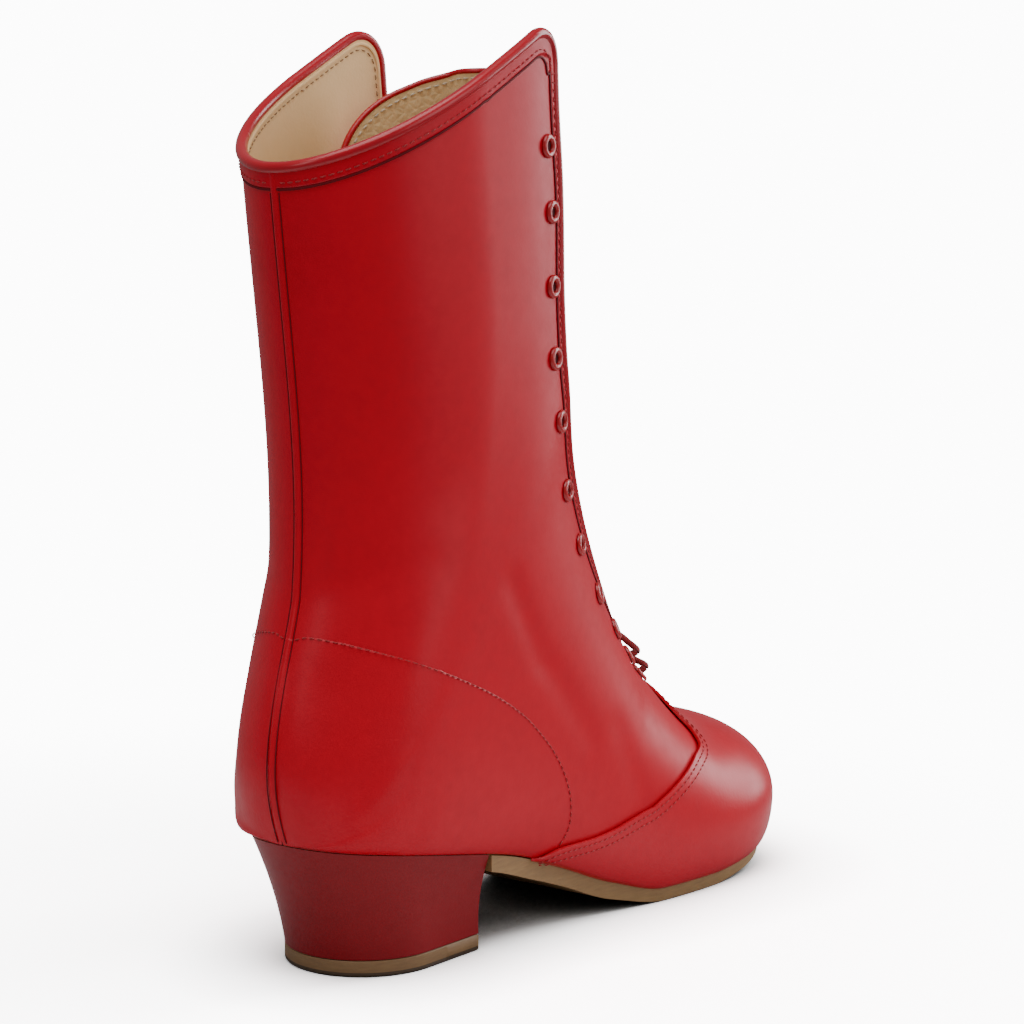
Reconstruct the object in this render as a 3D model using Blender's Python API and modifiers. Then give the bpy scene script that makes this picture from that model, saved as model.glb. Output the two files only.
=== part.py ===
"""Red lace-up dance boot, one right shoe, worked out from its last and leg sizes.

Metres, +Z up, toe to -Y. The origin is on the floor in the middle of the heel's top piece. The outer
side of the foot is -X and the inner side is +X. The skin of the boot is one function of a row, which
runs from the toe over the foot and up the leg, and an angle, which runs from the front or the top of
that row to the sole's edge or the back seam. Every curved piece is cut from that function.
"""
import math

import bmesh
import bpy
import numpy as np
from mathutils import Matrix, Vector

# Driving sizes
LENGTH = 0.238
HEEL_BACK = 0.041
BALL_WIDTH = 0.089
LEG_WIDTH = 0.076
HEEL_HEIGHT = 0.0435
ANKLE_HEIGHT = 0.075
LEG_HEIGHT = 0.170
TOE_SPRING = 0.008
TOE_Y = HEEL_BACK - LENGTH

# Walls and fits
CLEARANCE = 0.0003
WALL = 0.0020
SOLE_THICKNESS = 0.0050
SOLE_BEVEL = 0.0006
INSOLE_THICKNESS = 0.0020
INSOLE_INSET = WALL + 0.0008
TONGUE_THICKNESS = 0.0018
VAMP_THICKNESS = 0.0010

# Binding bead, the stitched band beside it and the back seam's ridge
BEAD = 0.0030
BAND_WIDTH = 0.0070
THROAT_BAND = 0.0052
BAND_STEP = 0.0005
STEP_RUN = 0.0007
CORNER_RADIUS = 0.016
SEAM_HALF = 0.0014
SEAM_HEIGHT = 0.0006

# Heel
TOP_PIECE = 0.0050
HEEL_BASE_WIDTH = 0.051
HEEL_BASE_LENGTH = 0.054
HEEL_HOLLOW = 0.0012
BREAST_Y = -0.0262

# Eyelets and lace
EYELET_HOLE = 0.0034
EYELET_BARREL = 0.0046
EYELET_FLANGE = 0.0076
FLANGE_HEIGHT = 0.0010
EYELET_SIDES = 8
EYELET_INSET = 0.0101
LACE = 0.0032
LACED_ROWS = 2

# Rows of the skin where its parts begin and end
SEAM_ROW = 13
COLLAR_ROW = 20.62
SLIT_ROW = 6.30
SLIT_ROUND = 0.35
TONGUE_ROWS = (5.75, 19.2)
HEEL_EASE = 1.1
HEEL_EASE_REACH = 2.4
HEEL_EASE_TURN = 0.9
VAMP_EDGE_ANGLE = math.radians(165)

# Sole line: share of the length from the toe, share of the toe spring, share of the heel's lift
SOLE_COLUMNS = ("along", "spring", "lift")
SOLE_LINE = (
    (0.00, 1.00, 0.00),
    (0.08, 0.58, 0.00),
    (0.17, 0.20, 0.00),
    (0.26, 0.00, 0.00),
    (0.36, 0.00, 0.00),
    (0.46, 0.00, 0.16),
    (0.57, 0.00, 0.43),
    (0.68, 0.00, 0.65),
    (0.78, 0.00, 0.78),
    (0.90, 0.00, 0.91),
    (1.00, 0.00, 1.00),
)

# Outsole: share of the length, thickness and overhang as shares of the sole's thickness
TREAD_COLUMNS = ("along", "thickness", "overhang")
TREAD = (
    (0.00, 0.70, 0.16),
    (0.12, 0.85, 0.26),
    (0.26, 1.00, 0.30),
    (0.36, 1.00, 0.28),
    (0.50, 1.40, 0.16),
    (0.62, 1.40, 0.10),
    (0.72, 1.15, 0.06),
    (1.00, 1.00, 0.04),
)

# Sections. "at" and "top_at" are shares of LENGTH, the rises count ankle heights up to 1 and leg
# heights past it, "outer", "inner" and the edges are shares of half the ball width, "swing" is a share
# of the ball width, "leg_half" and "gap" are shares of half the leg width.
SECTION_COLUMNS = (
    "at", "rise", "top_at", "top_rise", "leg", "outer", "inner", "leg_half",
    "edge_out", "edge_in", "widest", "round_top", "round_low", "swing", "gap",
)
SECTIONS = (
    (0.000, 0.00, 0.000, 0.20, 0.00, 0.00, 0.00, 0.00, 0.00, 0.00, 0.50, 2.2, 2.0, 0.075, 0.000),
    (0.018, 0.00, 0.014, 0.36, 0.00, 0.53, 0.36, 0.00, 0.52, 0.35, 0.55, 2.2, 2.0, 0.074, 0.000),
    (0.050, 0.00, 0.045, 0.46, 0.00, 0.82, 0.62, 0.00, 0.80, 0.60, 0.60, 2.1, 2.0, 0.068, 0.000),
    (0.100, 0.00, 0.090, 0.53, 0.00, 1.00, 0.80, 0.00, 0.97, 0.77, 0.64, 2.1, 2.0, 0.050, 0.000),
    (0.165, 0.00, 0.137, 0.59, 0.00, 1.06, 0.90, 0.00, 1.03, 0.86, 0.66, 2.0, 2.0, 0.030, 0.000),
    (0.250, 0.00, 0.185, 0.63, 0.00, 1.03, 0.90, 0.00, 0.98, 0.82, 0.68, 2.0, 2.0, 0.012, 0.000),
    (0.350, 0.00, 0.232, 0.745, 0.00, 0.95, 0.84, 0.00, 0.86, 0.70, 0.66, 2.1, 2.0, 0.000, 0.120),
    (0.450, 0.00, 0.290, 0.94, 0.00, 0.86, 0.76, 0.00, 0.75, 0.56, 0.64, 2.2, 2.0, 0.000, 0.200),
    (0.560, 0.00, 0.348, 1.05, 0.10, 0.72, 0.66, 0.12, 0.66, 0.50, 0.62, 2.3, 2.1, 0.000, 0.370),
    (0.680, 0.00, 0.408, 1.12, 0.30, 0.51, 0.50, 0.36, 0.68, 0.60, 0.59, 2.4, 2.3, 0.000, 0.540),
    (0.800, 0.00, 0.452, 1.19, 0.55, 0.33, 0.33, 0.58, 0.70, 0.67, 0.56, 2.6, 2.5, 0.000, 0.670),
    (0.910, 0.00, 0.474, 1.27, 0.75, 0.20, 0.20, 0.74, 0.62, 0.62, 0.54, 2.8, 2.8, 0.000, 0.750),
    (0.970, 0.00, 0.485, 1.35, 0.88, 0.10, 0.10, 0.85, 0.38, 0.38, 0.52, 3.0, 3.1, 0.000, 0.800),
    (0.984, 0.00, 0.494, 1.43, 1.00, 0.05, 0.05, 0.92, 0.00, 0.00, 0.51, 3.2, 3.2, 0.000, 0.830),
    (1.003, 0.22, 0.496, 1.50, 1.00, 0.00, 0.00, 0.96, 0.00, 0.00, 0.50, 3.4, 2.5, 0.000, 0.850),
    (0.999, 0.44, 0.497, 1.575, 1.00, 0.00, 0.00, 0.95, 0.00, 0.00, 0.50, 3.5, 1.9, 0.000, 0.860),
    (0.978, 0.70, 0.503, 1.66, 1.00, 0.00, 0.00, 0.95, 0.00, 0.00, 0.50, 3.6, 1.7, 0.000, 0.875),
    (0.952, 0.95, 0.514, 1.75, 1.00, 0.00, 0.00, 0.96, 0.00, 0.00, 0.50, 3.7, 1.8, 0.000, 0.885),
    (0.940, 1.16, 0.527, 1.84, 1.00, 0.00, 0.00, 0.98, 0.00, 0.00, 0.50, 3.8, 1.95, 0.000, 0.900),
    (0.952, 1.38, 0.538, 1.925, 1.00, 0.00, 0.00, 0.99, 0.00, 0.00, 0.50, 3.9, 2.0, 0.000, 0.915),
    (0.974, 1.62, 0.543, 2.01, 1.00, 0.00, 0.00, 1.00, 0.00, 0.00, 0.50, 4.0, 2.0, 0.000, 0.925),
    (0.992, 1.86, 0.545, 2.12, 1.00, 0.00, 0.00, 1.01, 0.00, 0.00, 0.50, 4.0, 2.0, 0.000, 0.930),
)

# Edge of the vamp: share of the half turn from the top to the sole, and its row there
VAMP_COLUMNS = ("turn", "row")
VAMP_LINE = (
    (0.00, 6.62),
    (0.10, 6.58),
    (0.15, 6.42),
    (0.18, 6.20),
    (0.22, 5.78),
    (0.26, 5.76),
    (0.33, 6.13),
    (0.45, 6.72),
    (0.53, 7.15),
    (0.71, 7.83),
    (0.84, 8.38),
    (1.00, 8.60),
)

# Grid of the vamp: shares of the half turn and of the way from the toe to the vamp's edge
VAMP_TURNS = (
    0, 0.06, 0.11, 0.15, 0.18, 0.205, 0.23, 0.27, 0.33, 0.40, 0.47, 0.54, 0.62, 0.70, 0.78, 0.86,
)
VAMP_SHARES = (0, 0.06, 0.12, 0.18, 0.25, 0.32, 0.40, 0.48, 0.56, 0.65, 0.75, 0.87, 1.0)

# Tongue: row, half of its girth as a share of the leg width, share of the way from the upper's
# section to a round one, and how far its front stands back, as a share of the leg width
TONGUE_COLUMNS = ("row", "half", "round", "back")
TONGUE = (
    (5.6, 0.21, 0.00, 0.046),
    (6.8, 0.32, 0.00, 0.046),
    (8.5, 0.45, 0.10, 0.048),
    (11.0, 0.56, 0.30, 0.052),
    (14.0, 0.60, 0.55, 0.066),
    (17.0, 0.61, 0.80, 0.090),
    (20.0, 0.62, 1.00, 0.118),
)

# Rows that carry an eyelet on each side, from the top down
EYELET_ROWS = (18.85, 17.77, 16.45, 14.85, 13.10, 11.50, 10.30, 9.25, 8.45, 7.78, 7.18)

# Grid of the upper: rows of the foot and leg, then columns as distances from the throat's outline,
# shares of the middle stretch, and distances from the back seam
GRID_ROWS = (
    0.0, 0.35, 0.8, 1.4, 2.1, 3.0, 4.0, 5.0, 5.8, 6.30, 6.35, 6.45, 6.65, 6.80, 7.2, 7.8, 8.5, 9.2,
    10.0, 10.8, 11.6, 12.4, 13.0, 13.5, 14.1, 14.9, 15.8, 16.8, 17.8, 18.8, 19.6,
)
WALL_INSET = BEAD + 3 * CLEARANCE
EDGE_PLACES = (WALL_INSET, THROAT_BAND, THROAT_BAND + STEP_RUN, 0.0084, 0.0118, CORNER_RADIUS)
MIDDLE_SHARES = (0.14, 0.28, 0.42, 0.56, 0.70, 0.86)
SEAM_PLACES = (SEAM_HALF + STEP_RUN, SEAM_HALF, 0.0)
CORNER_REACH = 15.5
BEAD_ROW = 6.80
TRACE = 500
TRACE_ROWS = 211


def column(table, names, name):
    """Return one named column of a table as an array."""
    return np.array([row[names.index(name)] for row in table], dtype=float)


def smooth(value):
    """Return an S curve from 0 to 1."""
    value = np.clip(value, 0.0, 1.0)
    return value * value * (3.0 - 2.0 * value)


def curve(x, y, at):
    """Return a smooth curve through the points (x, y) that has no swings between them."""
    step = np.diff(x)
    slope = np.diff(y) / step
    tangent = np.zeros(len(x))
    tangent[0] = slope[0]
    tangent[-1] = slope[-1]
    same = slope[:-1] * slope[1:] > 0
    both = slope[:-1] + slope[1:]
    tangent[1:-1] = np.where(same, 2 * slope[:-1] * slope[1:] / np.where(same, both, 1.0), 0.0)
    at = np.asarray(at, dtype=float)
    inside = np.clip(at, x[0], x[-1])
    i = np.clip(np.searchsorted(x, inside) - 1, 0, len(x) - 2)
    h = step[i]
    t = (inside - x[i]) / h
    value = (2 * t**3 - 3 * t**2 + 1) * y[i] + (t**3 - 2 * t**2 + t) * h * tangent[i]
    value = value + (3 * t**2 - 2 * t**3) * y[i + 1] + (t**3 - t**2) * h * tangent[i + 1]
    return value + (at - inside) * np.where(at < x[0], tangent[0], tangent[-1])


def spline(name, row, first=0, last=len(SECTIONS) - 1, start="line", end="line"):
    """Blend one column of the sections over the rows with a uniform cubic B-spline.

    The ends either run on in a line, or mirror evenly or oddly, as a closed nose needs.
    """
    values = column(SECTIONS, SECTION_COLUMNS, name)[first:last + 1]
    ghosts = []
    for edge, beside, how in ((values[0], values[1], start), (values[-1], values[-2], end)):
        ghosts.append({"line": 2 * edge - beside, "even": beside, "odd": -beside}[how])
    points = np.concatenate([[ghosts[0]], values, [ghosts[1]]])
    place = np.clip(np.asarray(row, dtype=float) - first, 0, len(values) - 1)
    i = np.minimum(place.astype(int), len(values) - 2)
    f = place - i
    weights = (
        (1 - f)**3 / 6,
        (3 * f**3 - 6 * f**2 + 4) / 6,
        (-3 * f**3 + 3 * f**2 + 3 * f + 1) / 6,
        f**3 / 6,
    )
    return sum(weight * points[i + n] for n, weight in enumerate(weights))


def level(rise):
    """Turn a rise into metres: ankle heights up to 1, leg heights past it."""
    return np.minimum(rise, 1) * ANKLE_HEIGHT + np.maximum(rise - 1, 0) * LEG_HEIGHT


def sole_height(along):
    """Height of the sole's upper face at a share of the length from the toe."""
    x = column(SOLE_LINE, SOLE_COLUMNS, "along")
    spring = column(SOLE_LINE, SOLE_COLUMNS, "spring") * TOE_SPRING
    lift = column(SOLE_LINE, SOLE_COLUMNS, "lift") * (HEEL_HEIGHT - SOLE_THICKNESS)
    return curve(x, SOLE_THICKNESS + spring + lift, along)


def sole_height_y(y):
    """Height of the sole's upper face at a place along the boot."""
    return sole_height((np.asarray(y) - TOE_Y) / LENGTH)


def lower_edge(row, side):
    """Sole's edge under the foot's rows, or back seam behind the leg's rows: y, z and half width."""
    foot = row <= SEAM_ROW
    foot_at = spline("at", row, 0, SEAM_ROW, "even", "even")
    corner_at = float(spline("at", SEAM_ROW, 0, SEAM_ROW, "even", "even"))
    settle = np.exp(-np.maximum(row - SEAM_ROW, 0) / 0.5)
    leg_at = spline("at", row, SEAM_ROW) - (SECTIONS[SEAM_ROW][0] - corner_at) * settle
    y = TOE_Y + np.where(foot, foot_at, leg_at) * LENGTH
    seam_z = sole_height(corner_at) + level(spline("rise", row, SEAM_ROW))
    z = np.where(foot, sole_height(foot_at), seam_z)
    half = spline("edge_out" if side < 0 else "edge_in", row, 0, SEAM_ROW, "odd", "odd")
    return y, z, np.where(foot, half, 0.0) * 0.5 * BALL_WIDTH


def soft_lower_edge(row, angle, side):
    """Lower edge as the rest of a row sees it, eased round the corner of the heel."""
    near = np.clip(1 - ((row - SEAM_ROW) / HEEL_EASE_REACH)**2, 0.0, 1.0)**2
    reach = HEEL_EASE * near * smooth((math.pi - angle) / HEEL_EASE_TURN)
    shifts = np.linspace(-1, 1, 9)
    weights = 1 - 0.9 * shifts**2
    samples = [lower_edge(row + reach * shift, side) for shift in shifts]
    return [sum(w * s[i] for w, s in zip(weights, samples)) / weights.sum() for i in range(3)]


def skin(row, angle, side):
    """Return points on the outside of the boot.

    side is -1 for the outer half and 1 for the inner half. The angle is 0 at the front or top of the
    row and pi at the sole's edge, or on the back seam above the heel.
    """
    row, angle = np.broadcast_arrays(np.asarray(row, dtype=float), np.asarray(angle, dtype=float))
    base_y, base_z, edge = soft_lower_edge(row, angle, side)

    top_at = spline("top_at", row, start="even")
    leg = spline("leg", row)
    top_y = TOE_Y + top_at * LENGTH
    top_z = (1 - leg) * sole_height(top_at) + leg * HEEL_HEIGHT + level(spline("top_rise", row))

    width = spline("outer" if side < 0 else "inner", row, start="odd")
    half = 0.5 * (width * BALL_WIDTH + spline("leg_half", row) * LEG_WIDTH)
    swing = spline("swing", row, start="even") * BALL_WIDTH

    cosine = np.cos(angle)
    sine = np.sin(angle)
    front = cosine >= 0
    power = 2.0 / np.where(front, spline("round_top", row), spline("round_low", row))
    reach = np.abs(cosine)**power
    spread = np.sign(sine) * np.abs(sine)**power
    widest = spline("widest", row)
    down = np.where(front, widest * (1 - reach), widest + (1 - widest) * reach)
    x = np.where(front, half * spread, edge + (half - edge) * spread)
    y = top_y + (base_y - top_y) * down
    z = top_z + (base_z - top_z) * down
    return np.stack([side * x + swing, y, z], axis=-1)


def outward(surface, row, angle, side):
    """Unit normals of a surface function, pointing out of the boot."""
    row = np.clip(np.asarray(row, dtype=float), 0.04, len(SECTIONS) - 1.05)
    angle = np.clip(np.asarray(angle, dtype=float), 0.03, math.pi - 0.03)
    along = surface(row + 0.03, angle, side) - surface(row - 0.03, angle, side)
    around = surface(row, angle + 0.02, side) - surface(row, angle - 0.02, side)
    normal = np.cross(around, along) * side
    return normal / np.linalg.norm(normal, axis=-1, keepdims=True)


def offset_skin(row, angle, side, height):
    """Points at a height over the skin, with the middle line kept in the boot's middle."""
    point = skin(row, angle, side)
    normal = outward(skin, row, angle, side)
    on_seam = (np.asarray(angle) > math.pi - 1e-6) & (np.asarray(row) >= SEAM_ROW)
    on_ridge = np.asarray(angle) < 1e-6
    flat = on_seam | on_ridge | (np.asarray(row) < 1e-6)
    normal[..., 0] = np.where(flat, 0.0, normal[..., 0])
    normal = normal / np.linalg.norm(normal, axis=-1, keepdims=True)
    return point + normal * np.asarray(height)[..., None]


class Across:
    """Turns distances along a row into angles, for one side of the boot."""

    def __init__(self, side):
        self.side = side
        self.rows = np.linspace(0, len(SECTIONS) - 1, TRACE_ROWS)
        turn = np.linspace(0, 1, TRACE)
        self.angles = math.pi * turn
        self.lengths = []
        for row in self.rows:
            points = skin(np.full(TRACE, row), self.angles, side)
            steps = np.linalg.norm(np.diff(points, axis=0), axis=1)
            self.lengths.append(np.concatenate([[0.0], np.cumsum(steps)]))
        self.lengths = np.array(self.lengths)
        self.girth = self.lengths[:, -1]

    def throat(self, row):
        """Distance from the middle line to the outline of the throat."""
        half = 0.5 * LEG_WIDTH
        open_half = np.maximum(spline("gap", self.rows), 0) * half
        width = spline("outer" if self.side < 0 else "inner", self.rows, start="odd")
        body = np.maximum(0.5 * width * BALL_WIDTH + spline("leg_half", self.rows) * half, 1e-6)
        share = np.minimum(open_half / body, 0.999)
        angle = np.arcsin(share**(spline("round_top", self.rows) / 2))
        reach = [np.interp(a, self.angles, s) for a, s in zip(angle, self.lengths)]
        return np.interp(row, self.rows, reach)

    def angle(self, row, distance):
        """Angle at a distance from the middle line, rows and distances as equal arrays."""
        row = np.asarray(row, dtype=float)
        distance = np.asarray(distance, dtype=float)
        place = np.clip(row / self.rows[-1] * (TRACE_ROWS - 1), 0, TRACE_ROWS - 1.000001)
        i = place.astype(int)
        f = place - i
        out = np.empty(row.shape)
        for n in np.ndindex(row.shape):
            low = np.interp(distance[n], self.lengths[i[n]], self.angles)
            high = np.interp(distance[n], self.lengths[i[n] + 1], self.angles)
            out[n] = low + (high - low) * f[n]
        return out

    def whole(self, row):
        """Distance from the middle line to the sole's edge or the back seam."""
        return np.interp(row, self.rows, self.girth)


ACROSS = {side: Across(side) for side in (-1, 1)}


def outline_drop(distance, inset):
    """How far the top outline lies under its straight line, at a distance from the throat.

    The front corner is a quarter round, and the outline is moved in by the inset on all sides.
    """
    radius = CORNER_RADIUS - inset
    lean = np.clip(1 - (distance - inset) / radius, 0.0, 1.0)
    return inset + radius * (1 - np.sqrt(1 - lean**2))


def collar_row(side, distance, inset, below=0.0):
    """Row of the top outline moved in by an inset, or of a line below it, along the collar."""
    across = ACROSS[side]
    place = np.minimum(across.throat(COLLAR_ROW) + distance, across.whole(COLLAR_ROW))
    top = np.full(place.shape, COLLAR_ROW)
    points = [skin(row, across.angle(row, place), side) for row in (top, top - 1)]
    pitch = np.linalg.norm(points[0] - points[1], axis=-1)
    return COLLAR_ROW - (outline_drop(distance, inset) + below) / pitch


def slit(row):
    """Opening of the throat's rounded lower end, from 0 at its bottom to 1."""
    rise = np.clip((np.asarray(row, dtype=float) - SLIT_ROW) / SLIT_ROUND, 0.0, 1.0)
    return np.sqrt(1 - (1 - rise)**2)


def column_places(side, row):
    """Distances of the upper's columns from the middle line, in one row."""
    across = ACROSS[side]
    start = (across.throat(row) + WALL_INSET) * slit(row) - WALL_INSET
    near = start + np.array(EDGE_PLACES)
    back = across.whole(row) - np.array(SEAM_PLACES)
    middle = near[-1] + np.array(MIDDLE_SHARES) * (back[0] - near[-1])
    return np.concatenate([near, middle, back])


def upper_grid(side):
    """Rows, angles and heights of the upper's outer face on one side."""
    across = ACROSS[side]
    from_throat = column_places(side, COLLAR_ROW) - across.throat(COLLAR_ROW)
    rim = collar_row(side, from_throat, WALL_INSET)
    fade = 1 - outline_drop(from_throat[-1], WALL_INSET) / outline_drop(from_throat, WALL_INSET)
    drop = (COLLAR_ROW - rim) * fade
    rows = []
    for nominal in GRID_ROWS:
        share = smooth((nominal - CORNER_REACH) / (COLLAR_ROW - CORNER_REACH))
        rows.append(nominal - drop * share)
    for below in (BAND_WIDTH + STEP_RUN, BAND_WIDTH, WALL_INSET):
        rows.append(collar_row(side, from_throat, WALL_INSET, below - WALL_INSET))
    rows = np.array(rows)
    angles = np.empty(rows.shape)
    for i, j in np.ndindex(rows.shape):
        spot = column_places(side, rows[i, j])[j]
        angles[i, j] = across.angle(rows[i:i + 1, j], np.array([spot]))[0]
    angles[:, -1] = math.pi
    angles[rows[:, 0] <= SLIT_ROW, 0] = 0.0
    heights = np.zeros(rows.shape)
    heights[:, :2] = BAND_STEP * smooth((rows[:, :2] - VAMP_LINE[0][1]) / 0.5)
    heights[-2:, :] = BAND_STEP
    ridge = SEAM_HEIGHT * smooth(rows[:, -2:] - SEAM_ROW)
    heights[:, -2:] = np.maximum(heights[:, -2:], ridge)
    return rows, angles, heights


def new_mesh(name, points, faces):
    """Make a mesh of points and faces, weld its doubles and turn its faces outwards."""
    work = bmesh.new()
    verts = [work.verts.new(point) for point in points]
    for face in faces:
        work.faces.new([verts[i] for i in face])
    bmesh.ops.remove_doubles(work, verts=work.verts, dist=0.00001)
    bmesh.ops.dissolve_degenerate(work, dist=0.00001, edges=work.edges)
    bmesh.ops.recalc_face_normals(work, faces=work.faces)
    mesh = bpy.data.meshes.new(name)
    work.to_mesh(mesh)
    work.free()
    mesh.shade_smooth()
    mesh.set_sharp_from_angle(angle=math.radians(40))
    return mesh


def sheet_faces(rows, columns, start=0):
    """Faces of a grid of points, listed row by row."""
    faces = []
    for i in range(rows - 1):
        for j in range(columns - 1):
            a = start + i * columns + j
            faces.append((a, a + 1, a + columns + 1, a + columns))
    return faces


def material(name, colour, roughness, metallic=0.0):
    """Make a Principled material from sRGB bytes."""
    made = bpy.data.materials.new(name)
    made.use_nodes = True
    shader = made.node_tree.nodes["Principled BSDF"]
    linear = [(c / 255 / 12.92) if c <= 10 else ((c / 255 + 0.055) / 1.055)**2.4 for c in colour]
    shader.inputs["Base Color"].default_value = (*linear, 1.0)
    shader.inputs["Roughness"].default_value = roughness
    shader.inputs["Metallic"].default_value = metallic
    made.diffuse_color = (*linear, 1.0)
    return made


def place(name, mesh, look, collection):
    """Add a mesh to the scene as one named sub-part."""
    made = bpy.data.objects.new(name, mesh)
    mesh.materials.append(look)
    collection.objects.link(made)
    return made


def solidify(made, thickness, offset):
    """Give an open shell its wall."""
    wall = made.modifiers.new("wall", "SOLIDIFY")
    wall.thickness = thickness
    wall.offset = offset
    wall.use_even_offset = True
    wall.use_quality_normals = True
    wall.use_rim = True
    return wall


def bevel(made, width, segments=2, angle=40):
    """Round the sharp edges of a solid."""
    edge = made.modifiers.new("edges", "BEVEL")
    edge.width = width
    edge.segments = segments
    edge.limit_method = "ANGLE"
    edge.angle_limit = math.radians(angle)
    return edge


def both_sides(surface, grids):
    """Join the outer and inner halves of a shell, row by row."""
    points = []
    faces = []
    for side, (rows, angles, heights) in grids.items():
        start = len(points)
        points.extend(map(tuple, surface(rows, angles, side, heights).reshape(-1, 3)))
        faces.extend(sheet_faces(*rows.shape, start))
    return points, faces


def upper_mesh():
    """Outer face of the upper, open at the collar, down the throat and along the sole's edge."""
    grids = {side: upper_grid(side) for side in (-1, 1)}
    points, faces = both_sides(offset_skin, grids)
    mesh = new_mesh("upper", points, faces)
    return mesh


def vamp_mesh():
    """Face of the vamp, which lies over the upper from the toe to the vamp's edge line."""
    x = column(VAMP_LINE, VAMP_COLUMNS, "turn")
    y = column(VAMP_LINE, VAMP_COLUMNS, "row")
    turns = np.array([*VAMP_TURNS, VAMP_EDGE_ANGLE / math.pi])
    shares = np.array(VAMP_SHARES)
    edge = curve(x, y, turns)
    rows = shares[:, None] * edge[None, :]
    angles = np.repeat(turns[None, :] * math.pi, len(shares), axis=0)
    heights = np.full(rows.shape, 2 * CLEARANCE)
    points, faces = both_sides(offset_skin, {side: (rows, angles, heights) for side in (-1, 1)})
    return new_mesh("vamp", points, faces)


def tongue_surface(row, angle, side):
    """Points on the tongue's outer face, rounder than the upper and standing back from it."""
    rows = column(TONGUE, TONGUE_COLUMNS, "row")
    roundness = curve(rows, column(TONGUE, TONGUE_COLUMNS, "round"), row)
    back = curve(rows, column(TONGUE, TONGUE_COLUMNS, "back"), row) * LEG_WIDTH
    row = np.asarray(row, dtype=float)
    front = skin(row, np.zeros(row.shape), side)
    side_point = skin(row, np.full(row.shape, math.pi / 2), side)
    half = np.abs(side_point[..., 0] - front[..., 0]) - 0.046 * LEG_WIDTH
    power = spline("round_top", row)
    power = power + (2.0 - power) * roundness
    sine = np.sin(angle)
    spread = np.sign(sine) * np.abs(sine)**(2 / power)
    reach = np.abs(np.cos(angle))**(2 / power)
    line = side_point - front
    start = front.copy()
    along = line[..., 1:] / np.linalg.norm(line[..., 1:], axis=-1, keepdims=True)
    start[..., 1:] = start[..., 1:] + along * back[..., None]
    point = start + (side_point - start) * (1 - reach)[..., None]
    point[..., 0] = front[..., 0] + side * half * spread
    return point


def tongue_mesh():
    """Outer face of the tongue, from under the vamp to its rounded top."""
    rows_known = column(TONGUE, TONGUE_COLUMNS, "row")
    half_known = column(TONGUE, TONGUE_COLUMNS, "half") * LEG_WIDTH
    low, high = TONGUE_ROWS
    shares = np.linspace(0, 1, 8)
    levels = np.array([0, 0.05, 0.11, 0.18, 0.26, 0.35, 0.45, 0.56, 0.68, 0.80, 0.90, 0.96, 1.0])
    turn = np.linspace(0, math.pi / 2 + 0.25, 200)
    points = []
    faces = []
    for side in (-1, 1):
        start = len(points)
        for share_up in levels:
            for share in shares:
                corner = max(0.0, (share - 0.45) / 0.55)
                top = high + 0.55 * share**2 - 1.35 * (1 - math.sqrt(max(0.0, 1 - corner**2 * 0.97)))
                row = low + (top - low) * share_up
                half = float(curve(rows_known, half_known, row))
                trail = tongue_surface(np.full(200, row), turn, side)
                steps = np.linalg.norm(np.diff(trail, axis=0), axis=1)
                length = np.concatenate([[0.0], np.cumsum(steps)])
                angle = np.interp(half * share, length, turn)
                points.append(tuple(tongue_surface(np.array([row]), np.array([angle]), side)[0]))
        faces.extend(sheet_faces(len(levels), len(shares), start))
    return new_mesh("tongue", points, faces)


def edge_point(row, side, out):
    """Point on the sole's upper edge, moved outwards in plan."""
    row = np.asarray(row, dtype=float)
    point = skin(row, np.full(row.shape, math.pi), side)
    before = skin(np.maximum(row - 0.02, 0), np.full(row.shape, math.pi), side)
    after = skin(np.minimum(row + 0.02, SEAM_ROW), np.full(row.shape, math.pi), side)
    tangent = (after - before)[..., :2]
    tangent = tangent / np.linalg.norm(tangent, axis=-1, keepdims=True)
    normal = np.stack([side * tangent[..., 1], -side * tangent[..., 0]], axis=-1)
    nose = row < 1e-6
    normal[nose] = (0.0, -1.0)
    tail = row > SEAM_ROW - 1e-6
    normal[tail] = (0.0, 1.0)
    point[..., :2] = point[..., :2] + normal * np.asarray(out)[..., None]
    return point


def sole_plate(name, rows, out, top, bottom):
    """Loft a plate along the foot: an outline, and the heights of its two faces over the floor."""
    left = edge_point(rows, -1, out)
    right = edge_point(rows, 1, out)
    points = []
    faces = []
    across = (0.0, 0.25, 0.5, 0.75, 1.0)
    ring = 2 * len(across)
    for l, r in zip(left, right):
        bar = [l + (r - l) * share for share in across]
        for point in bar:
            points.append((point[0], point[1], float(top(point[1]))))
        for point in reversed(bar):
            points.append((point[0], point[1], float(bottom(point[1]))))
    for i in range(len(rows) - 1):
        for j in range(ring):
            a = i * ring + j
            b = i * ring + (j + 1) % ring
            faces.append((a, b, b + ring, a + ring))
    last = (len(rows) - 1) * ring
    for start in (0, last):
        for j in range(len(across) - 1):
            faces.append((start + j, start + j + 1, start + ring - 2 - j, start + ring - 1 - j))
    return new_mesh(name, points, faces)


def tread_at(y, name):
    """Thickness or overhang of the outsole at a place along the boot."""
    along = (np.asarray(y) - TOE_Y) / LENGTH
    shares = curve(column(TREAD, TREAD_COLUMNS, "along"), column(TREAD, TREAD_COLUMNS, name), along)
    return shares * SOLE_THICKNESS


def breast_row():
    """Row of the sole's edge that meets the heel's breast."""
    rows = np.linspace(7, SEAM_ROW, 400)
    y = skin(rows, np.full(400, math.pi), -1)[:, 1]
    return float(np.interp(BREAST_Y, y, rows))


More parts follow.
